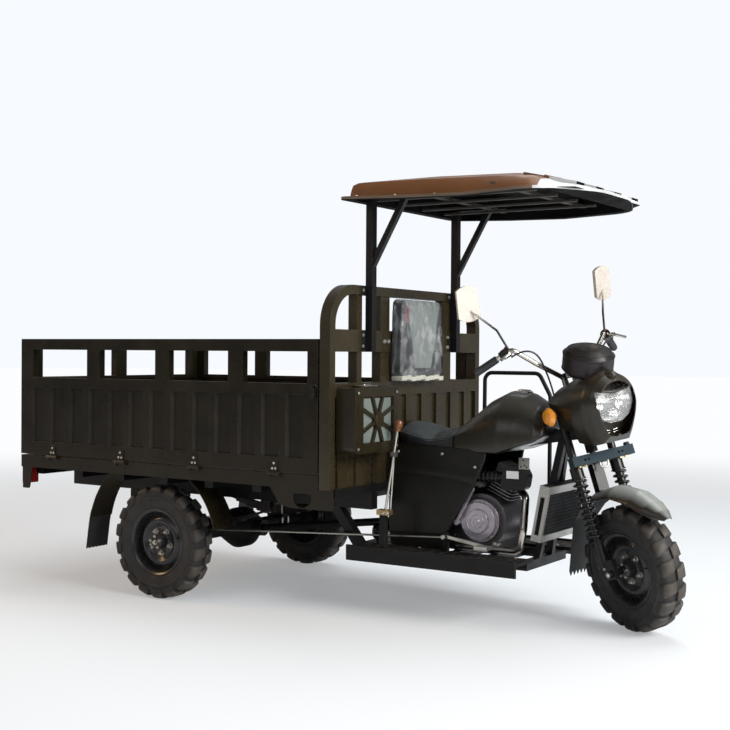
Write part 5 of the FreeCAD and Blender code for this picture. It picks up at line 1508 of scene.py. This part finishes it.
def cast_alloy(name, colour, rough=0.36):
    """Cast aluminium: fine pitted skin, oily brown stains in patches, brighter on worked edges."""
    make = Finish(name, rough, 0.75)
    tone = make.mix(
        make.spread(make.noise(6.0, 6.0), 0.35, 0.7),
        tuple(c * 0.85 for c in colour),
        tuple(min(1, c * 1.15) for c in colour),
    )
    stain = make.times(make.spread(make.noise(9.0, 8.0, (1, 1, 0.6)), 0.52, 0.80), 0.65)
    tone = make.mix(stain, tone, (0.16, 0.095, 0.045))
    normal, rim = make.edges(0.0015)
    tone = make.mix(make.times(rim, 0.5), tone, (0.62, 0.60, 0.60))
    gloss = make.spread(make.noise(15.0, 6.0), 0.3, 0.7, rough - 0.08, rough + 0.16)
    return make.finish(tone, gloss, make.noise(260.0, 5.0), 0.0004, normal)


case_alloy = cast_alloy("case_alloy", CASE_GREY)
case_piece = dressed("crankcase", cast_alloy("case_body", (0.13, 0.12, 0.125), 0.42), "chassis", 28)
case_piece.data.materials.append(case_alloy)
for face in case_piece.data.polygons:
    if face.center.y < COVER_SIDE_Y:
        face.material_index = 1
dressed("cylinder", cast_alloy("cylinder_alloy", (0.20, 0.19, 0.19), 0.45), "chassis", 28)
case_screw = bmesh.new()
add_bolt(case_screw, (0.090, 0.0, 0.0), (0, -1, 0), 0.010, 0.0055)
screws = grown(
    "case_screws",
    shape_mesh("case_screw", case_screw),
    around_axle,
    {"Count": 9, "First turn": 0.2},
    zinc_plate,
)
cover_centre = from_axle(1.490, -0.132, 0.440)
fitted(screws, Matrix.Translation(cover_centre), "chassis", "zinc")
rings = bmesh.new()
for radius, y, width in (
    (0.0965, -0.1322, 0.0016),
    (0.0845, -0.1502, 0.0016),
    (0.0525, -0.1602, 0.0014),
    (0.030, -0.1602, 0.0016),
):
    loop = []
    for i in range(49):
        ahead = radius * math.cos(i * math.pi / 24)
        above = radius * math.sin(i * math.pi / 24)
        loop.append(Vector((cover_centre.x + ahead, y, cover_centre.z + above)))
    add_tube(rings, loop, width, 6)
add_prism(rings, 8, 0.013, (cover_centre.x, -0.1600, cover_centre.z), (0, -1, 0), 0.0045, 0.011)
piece("cover_rings", rings, case_alloy, "chassis")
fittings = bmesh.new()
add_prism(fittings, 20, 0.017, from_axle(1.405, -0.098, 0.505), (0, -1, 0.2), 0.016, 0.015)
add_prism(fittings, 14, 0.011, from_axle(1.560, -0.080, 0.335), (0, -1, 0), 0.040, 0.011)
add_bolt(fittings, from_axle(1.560, -0.120, 0.335), (0, -1, 0), 0.019, 0.008)
for x, z in ((1.345, 0.360), (1.420, 0.345), (1.345, 0.470)):
    add_bolt(fittings, from_axle(x, -0.098, z), (0, -1, 0), 0.011, 0.006)
piece("case_fittings", fittings, zinc_plate, "chassis")
plug = bmesh.new()
plug_at = from_axle(1.560, -0.045, 0.640)
add_prism(plug, 6, 0.009, plug_at, (0.25, -1, 0.45), 0.018)
add_prism(plug, 14, 0.0065, plug_at + Vector((0.004, -0.015, 0.007)), (0.25, -1, 0.45), 0.030, 0.0055)
piece(
    "spark_plug",
    plug,
    plain_rubber("plug_rubber", (0.012, 0.012, 0.012), 0.45),
    "chassis",
)

duct_plastic = painted(
    "duct_plastic",
    (0.007, 0.007, 0.0075),
    rough=0.34,
    coat=0.15,
    dust=0.2,
    wear=0.2,
    bare=(0.06, 0.06, 0.06),
)
dressed("intake", duct_plastic, "chassis", 28)
hose_ribs = bmesh.new()
hose_start = from_axle(1.395, -0.128, 0.640)
hose_end = from_axle(1.600, -0.133, 0.647)
for i in range(11):
    t = i / 10
    centre = hose_start.lerp(hose_end, t) + Vector((0, -0.006 * math.sin(math.pi * t), 0.0))
    along = (hose_end - hose_start).normalized()
    add_prism(hose_ribs, 24, 0.0232, centre - along * 0.0045, along, 0.0045, 0.0262)
    add_prism(hose_ribs, 24, 0.0262, centre, along, 0.0045, 0.0232)
piece("hose_ribs", hose_ribs, duct_plastic, "chassis")
label = bmesh.new()
label_at = from_axle(1.668, -0.1645, 0.662)
add_box(label, label_at - Vector((0.030, 0.0004, 0.017)), label_at + Vector((0.030, 0.0008, 0.017)))
piece("blank_label", label, moulded("label_white", (0.72, 0.72, 0.70), 0.5, 0.0), "chassis")
bracket = bmesh.new()
add_box(bracket, from_axle(1.700, -0.1680, 0.690), from_axle(1.752, -0.1655, 0.742), bevel=0.001)
for x in (1.714, 1.738):
    add_prism(bracket, 14, 0.0065, from_axle(x, -0.1675, 0.722), (0, -1, 0), 0.0014)
piece("filter_bracket", bracket, metal("bracket_dull", (0.30, 0.29, 0.26), 0.45), "chassis")
holes = bmesh.new()
for x, z in ((1.712, 0.702), (1.728, 0.708), (1.738, 0.700), (1.722, 0.730)):
    add_prism(holes, 14, 0.0042, from_axle(x, -0.1679, z), (0, -1, 0), 0.0006)
piece("bracket_holes", holes, duct_plastic, "chassis")

pipe_chrome = metal("pipe_chrome", (0.50, 0.47, 0.43), 0.20, stain=(0.14, 0.08, 0.045), stains=0.7)
dressed("exhaust", pipe_chrome, "chassis", 50)
shield = bmesh.new()
for x in (0.930, 1.100):
    place = from_axle(x, -0.088, 0.309)
    add_prism(shield, 32, 0.0415, place, (1, 0, 0), 0.012)
piece("muffler_bands", shield, dirty_black, "chassis")


# Radiator: black finned core between two tanks on the down tubes, held in a silver steel frame. The fins
# are thin upright sheets with crossing tubes, seen from the front.
FIN_COUNT = 74
TUBE_COUNT = 11
dressed("radiator_brackets", metal("bracket_silver", (0.42, 0.41, 0.385), 0.38), "chassis", 20)
core_mesh = nodes["radiator"].data
core_low, core_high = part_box("radiator")
core_black = painted("core_black", (0.006, 0.006, 0.0065), rough=0.55, coat=0.0, dust=0.15, wear=0.25)
dressed("radiator", core_black, "chassis", 20)
front_faces = [face for face in core_mesh.polygons if face.normal.x > 0.9]
core_normal = front_faces[0].normal.normalized()
core_up = Vector((-core_normal.z, 0, core_normal.x))
core_front = front_faces[0].center
foot = core_front + core_up * ((core_low.z + 0.040 - core_front.z) / core_up.z)
head = core_front + core_up * ((core_high.z - 0.045 - core_front.z) / core_up.z)
fin = bmesh.new()
fin_length = (head - foot).length
tilt = Matrix((core_normal, Vector((0, 1, 0)), core_up)).transposed()
middle = (foot + head) / 2
fin_y = core_low.y + 0.008
add_box(
    fin,
    Vector((middle.x - 0.002, fin_y - 0.0006, middle.z - fin_length / 2)),
    Vector((middle.x + 0.002, fin_y + 0.0006, middle.z + fin_length / 2)),
    tilt,
)
fin_step = (core_high.y - core_low.y - 0.016) / (FIN_COUNT - 1)
core_metal = metal("core_metal", (0.022, 0.022, 0.024), 0.5, 0.5, stain=(0.02, 0.018, 0.015))
repeated(
    "radiator_fins",
    fin,
    {"Count": FIN_COUNT, "Step X": 0.0, "Step Y": fin_step},
    core_metal,
    "chassis",
)
tubes = bmesh.new()
for i in range(TUBE_COUNT):
    t = (i + 0.5) / TUBE_COUNT
    centre = foot.lerp(head, t)
    add_box(
        tubes,
        Vector((centre.x - 0.0012, core_low.y + 0.004, centre.z - 0.0035)),
        Vector((centre.x + 0.0012, core_high.y - 0.004, centre.z + 0.0035)),
        tilt,
    )
piece("radiator_tubes", tubes, core_metal, "chassis")


# Guard bar, gear lever and brake linkage: bent black tube beside the seat, a zinc-plated lever with a
# turned brown knob, and plated brake rods with their pedal.
LEVER_FOOT_TOP = 0.4621
BRASS_TOP = 0.4861
KNOB_FOOT = 0.849
dressed("guard_bar", black_enamel, "chassis", 50)
rod_zinc = metal("rod_zinc", (0.56, 0.55, 0.50), 0.30, stain=(0.22, 0.15, 0.06))
lever_piece = dressed("gear_lever", rod_zinc, "chassis", 50)
brake_piece = dressed("brake_linkage", rod_zinc, "chassis", 50)
knob_shape = [
    (0.0, -0.028), (0.008, -0.027), (0.011, -0.020), (0.0175, -0.008), (0.0195, 0.004),
    (0.0180, 0.016), (0.011, 0.024), (0.0, 0.026),
]
knob_paint = painted("knob_brown", (0.16, 0.055, 0.016), rough=0.22, coat=0.7, dust=0.1, wear=0.1)
brass = metal("bracket_brass", (0.52, 0.36, 0.16), 0.38, stain=(0.24, 0.14, 0.05))
for finish in (dirty_black, brass, knob_paint):
    lever_piece.data.materials.append(finish)
brake_piece.data.materials.append(dirty_black)
for face in lever_piece.data.polygons:
    if face.center.z < LEVER_FOOT_TOP:
        face.material_index = 1
    elif face.center.z < BRASS_TOP:
        face.material_index = 2
    elif face.center.z > KNOB_FOOT:
        face.material_index = 3
for face in brake_piece.data.polygons:
    ahead = face.center.x - REAR_AXLE_X
    reach = max(brake_piece.data.vertices[i].co.x for i in face.vertices) - REAR_AXLE_X
    if 1.351 < ahead < 1.381 and reach < 1.382:
        face.material_index = 1
knob = new_object("gear_knob", lathe("gear_knob", knob_shape, 32), knob_paint)
lever_top = from_axle(1.187, -0.354, 0.874)
lean = Matrix.Rotation(math.radians(90), 4, "X") @ Matrix.Rotation(math.radians(-9), 4, "Z")
fitted(knob, Matrix.Translation(lever_top) @ lean, "chassis", "olive_paint")
pins = bmesh.new()
for x, z in ((1.120, 0.478), (1.142, 0.478)):
    add_bolt(pins, from_axle(x, -0.374, z - 0.004), (0, -1, 0), 0.013, 0.005)
add_bolt(pins, from_axle(1.366, -0.256, 0.368), (0, -1, 0), 0.016, 0.007)
piece("linkage_pins", pins, zinc_plate, "chassis")


# Fork: two yokes, telescopic legs in black shrouds with coil springs over black tubes, and the axle's
# castings. A drilled teal cross bar in front of the lower yoke takes an extra lamp.
LEG_Y = 0.112
SPRING_FOOT = 0.150
SPRING_HEAD = 0.425
SPRING_WIRE = 0.0052
SPRING_RADIUS = 0.0282
SPRING_TURNS = 11.0
YOKE_RISE = 0.500


def on_steering(x, y, z):
    """Place on the turned fork of a point given as if it were straight, metres ahead of the rear axle."""
    return fork_turn @ from_axle(x, y, z)


def along_fork(ahead, y, rise):
    """Place on the turned fork from its own axis: ahead of it, across it and up it from the hub line."""
    point = STEER_AT + FORK_AHEAD * ahead + Vector((0, y, 0)) + STEER_AXIS * rise
    return fork_turn @ point


def spring_tree():
    """A round wire wound into a coil along Z."""
    numbers = {"Turns": 9.0, "Radius": 0.028, "Height": 0.27, "Wire": 0.004}
    tree, given, result = tree_with("wound_coil", numbers)
    coil = tree.nodes.new("GeometryNodeCurveSpiral")
    coil.inputs["Resolution"].default_value = 30
    tree.links.new(given.outputs["Turns"], coil.inputs["Rotations"])
    tree.links.new(given.outputs["Radius"], coil.inputs["Start Radius"])
    tree.links.new(given.outputs["Radius"], coil.inputs["End Radius"])
    tree.links.new(given.outputs["Height"], coil.inputs["Height"])
    wire = tree.nodes.new("GeometryNodeCurvePrimitiveCircle")
    wire.inputs["Resolution"].default_value = 10
    tree.links.new(given.outputs["Wire"], wire.inputs["Radius"])
    skin = tree.nodes.new("GeometryNodeCurveToMesh")
    skin.inputs["Fill Caps"].default_value = True
    tree.links.new(coil.outputs["Curve"], skin.inputs["Curve"])
    tree.links.new(wire.outputs["Curve"], skin.inputs["Profile Curve"])
    end_tree(tree, given, result, skin.outputs["Mesh"])
    return tree


FORK_AHEAD = Vector((STEER_AXIS.z, 0, -STEER_AXIS.x))
fork_black = painted("fork_black", (0.0065, 0.0062, 0.0068), rough=0.32, coat=0.25, dust=0.2, wear=0.35)
dressed("fork", fork_black, "steering", 40)
spring_black = painted("spring_black", (0.008, 0.008, 0.0085), rough=0.26, coat=0.5, dust=0.15, wear=0.3)
coil = spring_tree()
coils = []
stand = STEER_AXIS.to_track_quat("Z", "Y").to_matrix().to_4x4()
for side in (-1, 1):
    values = {
        "Turns": SPRING_TURNS,
        "Radius": SPRING_RADIUS,
        "Height": SPRING_HEAD - SPRING_FOOT,
        "Wire": SPRING_WIRE,
    }
    seed = bmesh.new()
    add_box(seed, (0, 0, 0), (0.001, 0.001, 0.001))
    wound = grown("coil", shape_mesh("coil", seed), coil, values, spring_black)
    wound.data.shade_smooth()
    foot_at = STEER_AT + Vector((0, side * LEG_Y, 0)) + STEER_AXIS * SPRING_FOOT
    wound.data.transform(fork_turn @ Matrix.Translation(foot_at) @ stand)
    coils.append(wound)
springs = joined("fork_springs_dressed", coils)
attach(springs, "steering")
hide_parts("fork_springs")
stanchions = bmesh.new()
for side in (-1, 1):
    add_tube(
        stanchions,
        [along_fork(0, side * LEG_Y, SPRING_FOOT - 0.01), along_fork(0, side * LEG_Y, SPRING_HEAD + 0.01)],
        0.0188,
        28,
    )
bright_chrome = metal("bright_chrome", (0.66, 0.66, 0.66), 0.14, stain=(0.20, 0.18, 0.15), stains=0.25)
piece("fork_stanchions", stanchions, fork_black, "steering")
collars = bmesh.new()
for side in (-1, 1):
    for rise in (SPRING_FOOT - 0.006, SPRING_HEAD):
        start = along_fork(0, side * LEG_Y, rise)
        add_prism(collars, 32, 0.0335, start, along_fork(0, 0, 1) - along_fork(0, 0, 0), 0.006)
    for rise in (0.075, 0.120):
        start = along_fork(0, side * LEG_Y, rise)
        add_prism(collars, 32, 0.0258, start, along_fork(0, 0, 1) - along_fork(0, 0, 0), 0.010)
piece("fork_collars", collars, fork_black, "steering")
axle_nuts = bmesh.new()
across = along_fork(0, 1, 0) - along_fork(0, 0, 0)
for side in (-1, 1):
    add_nut(axle_nuts, along_fork(0.050, side * 0.138, 0), across * side, 0.026, 0.008)
    add_bolt(axle_nuts, along_fork(0.014, side * 0.124, 0.028), across * side, 0.012, 0.006)
piece("axle_nuts", axle_nuts, zinc_plate, "steering")

bar_teal = painted(
    "bar_teal",
    (0.016, 0.029, 0.037),
    rough=0.68,
    coat=0.0,
    dust=0.10,
    wear=0.35,
    bare=(0.08, 0.11, 0.12),
)
dressed("fork_bar", bar_teal, "steering", 20)
yellow_zinc = metal("yellow_zinc", (0.56, 0.42, 0.16), 0.32, stain=(0.24, 0.15, 0.05))
down = along_fork(0, 0, -1) - along_fork(0, 0, 0)
ahead = along_fork(1, 0, 0) - along_fork(0, 0, 0)
bolts = bmesh.new()
for side in (-1, 1):
    for y in (0.098, 0.128):
        add_bolt(bolts, along_fork(0.056, side * y, YOKE_RISE - 0.022), down, 0.014, 0.007)
piece("bar_bolts", bolts, yellow_zinc, "steering")
clip = bmesh.new()
clip_route = [
    (0.060, -0.022, -0.020), (0.060, -0.022, -0.050), (0.060, 0.022, -0.050), (0.060, 0.022, -0.020)
]
add_tube(clip, rounded_path([along_fork(a, y, YOKE_RISE + r) for a, y, r in clip_route], 0.018), 0.0042)
piece("bar_clip", clip, zinc_plate, "steering")
end_knob = bmesh.new()
add_prism(end_knob, 20, 0.015, along_fork(0.056, 0.150, YOKE_RISE + 0.022), -down, 0.014, 0.012)
piece("bar_knob", end_knob, flap_rubber, "steering")


# Front fender and mudflap: a pressed steel teardrop over the wheel, glossy olive with a pale painted sheen on
# its top, a painted reflection of the sky, on a stand from the lower yoke, and a black rubber flap with a
# toothed end.
# The fender's top takes a pale grey painted sheen, a painted reflection of the sky.
fender_paint = gloss_olive("fender_paint", (0.46, 0.49, 0.46), 0.92, 0.48, 0.97)
fender = dressed("front_fender", fender_paint, "steering", 48)
fender.data.materials.append(fork_black)
straighten = fork_turn.inverted()
for face in fender.data.polygons:
    place = straighten @ face.center - STEER_AT
    if abs(place.y) < 0.030 and place.dot(STEER_AXIS) > 0.306 and place.dot(FORK_AHEAD) < 0.012:
        face.material_index = 1
dressed("front_mudflap", flap_rubber, "steering", 35)


# Headlamp cowl: moulded plastic, olive, its edges creased, with a brow over the lamp, a small raised bump
# under the instrument pod and two slots in its chin that show bright metal.
# The cowl's upper faces take a pale brown painted sheen, a painted reflection.
cowl_paint = gloss_olive("cowl_paint", (0.12, 0.10, 0.075), 0.40, 0.40, 0.95)
dressed("headlamp_cowl", cowl_paint, "steering", 26)
brow_route = [
    (2.148, -0.100, 1.0735), (2.170, -0.052, 1.0635), (2.178, 0.0, 1.0560), (2.170, 0.052, 1.0635),
    (2.148, 0.100, 1.0735),
]
brow = bmesh.new()
add_tube(brow, [on_steering(*p) for p in rounded_path(brow_route, 0.04)], 0.0048, 10)
bump_at = on_steering(2.150, 0.0, 1.128)
made = bmesh.ops.create_uvsphere(brow, u_segments=24, v_segments=12, radius=1.0)
bump_size = Matrix.Diagonal((0.030, 0.026, 0.017, 1.0))
turned = Matrix.Rotation(REST_STEER, 4, STEER_AXIS)
bmesh.ops.transform(brow, matrix=Matrix.Translation(bump_at) @ turned @ bump_size, verts=made["verts"])
piece("cowl_brow", brow, cowl_paint, "steering", 60)
slots = bmesh.new()
for side in (-1, 1):
    for z in (0.873, 0.885):
        add_tube(
            slots,
            [on_steering(2.121, side * 0.010, z - 0.001), on_steering(2.121, side * 0.041, z + 0.001)],
            0.0028,
            10,
        )
piece("chin_bars", slots, bright_chrome, "steering")


# Headlamp: a clear moulded lens over bright faceted reflectors, two large bowls side by side with their
# bulbs and a row of small facets below.
LENS_BACK = 2.1190
BOWLS = [(-0.053, 1.008, 0.044), (0.053, 1.008, 0.044), (0.0, 0.958, 0.024)]


def bowl(shape, y0, z0, radius, pleats=12):
    """Add a reflector bowl with flat radial pleats, open towards the front, and its bulb."""
    rings = []
    for step in range(7):
        share = step / 6
        ring = []
        for i in range(pleats * 4):
            angle = 2 * math.pi * i / (pleats * 4)
            pleat = 1.0 - 0.06 * abs(math.sin(angle * pleats / 2)) * share
            reach = (0.18 + 0.82 * share) * radius * pleat
            x = LENS_BACK + 0.004 + 0.024 * share ** 2
            y = y0 + reach * math.cos(angle)
            z = z0 + reach * math.sin(angle)
            ring.append(shape.verts.new(on_steering(x, y, z)))
        rings.append(ring)
    for first, second in zip(rings, rings[1:]):
        for i in range(len(first)):
            j = (i + 1) % len(first)
            shape.faces.new((first[i], first[j], second[j], second[i]))
    shape.faces.new(rings[0])
    forward = on_steering(1, 0, 0) - on_steering(0, 0, 0)
    add_prism(shape, 16, radius * 0.17, on_steering(LENS_BACK + 0.004, y0, z0), forward, 0.018, radius * 0.14)


mirror_chrome = metal("mirror_chrome", (0.86, 0.85, 0.83), 0.07, stains=0.05, grain=0.00002)
reflectors = bmesh.new()
for y0, z0, radius in BOWLS:
    bowl(reflectors, y0, z0, radius)
plate_half = [(0.0, 1.046), (0.050, 1.053), (0.096, 1.061), (0.100, 1.006), (0.074, 0.955), (0.032, 0.930)]
outline = plate_half + [(-y, z) for y, z in reversed(plate_half) if y > 0]
front_ring = [reflectors.verts.new(on_steering(LENS_BACK + 0.004, y, z)) for y, z in outline]
back_ring = [reflectors.verts.new(on_steering(LENS_BACK + 0.001, y, z)) for y, z in outline]
reflectors.faces.new(front_ring)
reflectors.faces.new(list(reversed(back_ring)))
for i in range(len(outline)):
    j = (i + 1) % len(outline)
    reflectors.faces.new((front_ring[i], front_ring[j], back_ring[j], back_ring[i]))
for i in range(9):
    y = -0.088 + i * 0.022
    low_z = 0.962 + 0.20 * abs(y) if abs(y) > 0.03 else 1.030
    for k in range(3):
        z = low_z + k * 0.011 if low_z < 1.02 else 1.028 + k * 0.006
        add_prism(
            reflectors,
            4,
            0.0085,
            on_steering(LENS_BACK + 0.004, y, z - 0.012),
            on_steering(1, 0, 0) - on_steering(0, 0, 0),
            0.008,
            0.003,
            0.785,
        )
piece("lamp_reflectors", reflectors, mirror_chrome, "steering", 12)


def lamp_glass():
    """Clear hard plastic, seen by its highlights and fine moulded lines."""
    make = Finish("lamp_glass", 0.04)
    make.body.inputs["Alpha"].default_value = 0.22
    make.body.inputs["Coat Weight"].default_value = 1.0
    make.body.inputs["Coat Roughness"].default_value = 0.03
    tone = make.mix(make.spread(make.noise(6.0), 0.35, 0.7), (0.80, 0.82, 0.84), (0.90, 0.91, 0.92))
    gloss = make.spread(make.noise(40.0, 5.0), 0.4, 0.75, 0.03, 0.12)
    return make.finish(tone, gloss, make.noise(24.0, 2.0), 0.0006)


dressed("headlamp_lens", lamp_glass(), "steering", 40)


# Instrument pod: a black plastic cup tilted to the rider, with a rolled rim and a domed dark glass on top.
pod_black = painted(
    "pod_black",
    (0.012, 0.010, 0.0095),
    rough=0.36,
    coat=0.2,
    dust=0.12,
    wear=0.2,
    bare=(0.08, 0.08, 0.08),
)
dressed("instrument_pod", pod_black, "steering", 34)
pod_turn = Matrix.Rotation(REST_STEER, 4, STEER_AXIS)
pod_up = pod_turn.to_3x3() @ (Matrix.Rotation(math.radians(15.6), 3, "Y") @ Vector((0, 0, 1)))
pod_foot = on_steering(1.992, 0.0, 1.128)
rim = bmesh.new()
for rise, radius, wire in ((0.0865, 0.1115, 0.0032), (0.1045, 0.0955, 0.0022), (0.0180, 0.1118, 0.0024)):
    side_a = pod_up.orthogonal().normalized()
    side_b = pod_up.cross(side_a)
    loop = []
    for i in range(49):
        outward = side_a * math.cos(i * math.pi / 24) + side_b * math.sin(i * math.pi / 24)
        loop.append(pod_foot + pod_up * rise + outward * radius)
    add_tube(rim, loop, wire, 8)
piece("pod_rings", rim, pod_black, "steering")


# Handlebar: chromed tube clamped over the upper yoke, with cast levers, black switch boxes, rubber grips
# and round-cornered mirrors. Two black cables run from the levers into the cowl.
CABLE_ROUTE = [(1.838, 0.285, 1.232), (1.922, 0.225, 1.290), (1.856, 0.096, 1.090), (1.850, 0.080, 1.000)]
CABLE_THICK = 0.008
cable_black = plain_rubber("cable_black", (0.010, 0.010, 0.011), 0.45)
for side, name in ((-1, "control_cable_right"), (1, "control_cable_left")):
    line = bpy.data.curves.new(name, "CURVE")
    line.dimensions = "3D"
    line.bevel_depth = CABLE_THICK / 2
    line.bevel_resolution = 4
    line.resolution_u = 16
    line.use_fill_caps = True
    spline = line.splines.new("NURBS")
    spline.points.add(len(CABLE_ROUTE) - 1)
    for point, (x, y, z) in zip(spline.points, CABLE_ROUTE):
        point.co = (*on_steering(x, side * y, z), 1)
    spline.order_u = 3
    spline.use_endpoint_u = True
    cable = bpy.data.objects.new(name, line)
    scene.collection.objects.link(cable)
    line.materials.append(cable_black)
    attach(cable, "steering")
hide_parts("control_cables")

dressed(
    "handlebar",
    metal(
        "bar_chrome",
        (0.60, 0.56, 0.50),
        0.16,
        stain=(0.26, 0.20, 0.14),
        stains=0.3,
        grain=0.00003,
        edge=0.00005,
    ),
    "steering",
    55,
)
dressed("grips", plain_rubber("grip_rubber", (0.011, 0.011, 0.012), 0.6), "steering", 50)
boxes = bmesh.new()
buttons = bmesh.new()
grip_rings = bmesh.new()
for side in (-1, 1):
    knee = Vector((1.812, side * 0.262, 1.262))
    out = (Vector((1.712, side * 0.390, 1.172)) - knee).normalized()
    for reach, length, radius in ((0.024, 0.034, 0.0235), (0.060, 0.010, 0.0205)):
        start = knee + out * (reach - 0.010)
        add_prism(
            boxes,
            24,
            radius,
            on_steering(*start),
            on_steering(*(start + out)) - on_steering(*start),
            length,
            radius * 0.94,
        )
    top = knee + out * 0.030 + Vector((0, 0, 0.021))
    add_prism(
        buttons,
        12,
        0.007,
        on_steering(*top),
        on_steering(top.x, top.y, top.z + 1) - on_steering(*top),
        0.007,
        0.006,
    )
    for i in range(14):
        start = knee + out * (0.092 + i * 0.0068)
        add_prism(
            grip_rings,
            20,
            0.0172,
            on_steering(*start),
            on_steering(*(start + out)) - on_steering(*start),
            0.0030,
            0.0182,
        )
piece("switch_boxes", boxes, pod_black, "steering")
piece(
    "switch_buttons",
    buttons,
    painted("button_red", (0.30, 0.012, 0.008), rough=0.3, coat=0.4, dust=0.0, wear=0.0),
    "steering",
)
piece(
    "grip_rings",
    grip_rings,
    plain_rubber("ring_rubber", (0.014, 0.014, 0.015), 0.55),
    "steering",
)

mirror_chromed = metal("mirror_back", (0.66, 0.60, 0.54), 0.42, 0.35, stains=0.12)
mirror_piece = dressed("mirrors", fork_black, "steering", 50)
mirror_piece.data.materials.append(mirror_chromed)
head_top = max((straighten @ vert.co).z for vert in mirror_piece.data.vertices)
for face in mirror_piece.data.polygons:
    if (straighten @ face.center).z > head_top - 0.162:
        face.material_index = 1


# Turn signals: amber six-sided lenses on short black rubber stalks out of the cowl.
def amber_glass():
    make = Finish("amber_lens", 0.14)
    make.body.inputs["Coat Weight"].default_value = 0.8
    rows = make.node("ShaderNodeTexWave", wave_type="RINGS", rings_direction="Z")
    rows.inputs["Scale"].default_value = 28.0
    make.link(make.place, rows.inputs["Vector"])
    tone = make.mix(make.spread(make.noise(20.0), 0.3, 0.7), (0.72, 0.22, 0.010), (0.90, 0.36, 0.022))
    gloss = make.spread(make.noise(30.0), 0.3, 0.7, 0.10, 0.24)
    return make.finish(tone, gloss, rows.outputs["Color"], 0.0008)


signal_piece = dressed("turn_signals", flap_rubber, "steering", 30)
signal_piece.data.materials.append(amber_glass())
for face in signal_piece.data.polygons:
    at = straighten @ face.center
    if abs(at.y) > 0.1665:
        face.material_index = 1
rims = bmesh.new()
for side in (-1, 1):
    start = on_steering(1.945, side * 0.1645, 0.957)
    add_prism(
        rims,
        20,
        0.0135,
        start,
        on_steering(1.945, side, 0.957) - on_steering(1.945, 0, 0.957),
        0.005,
        0.0125,
    )
piece("signal_collars", rims, flap_rubber, "steering")
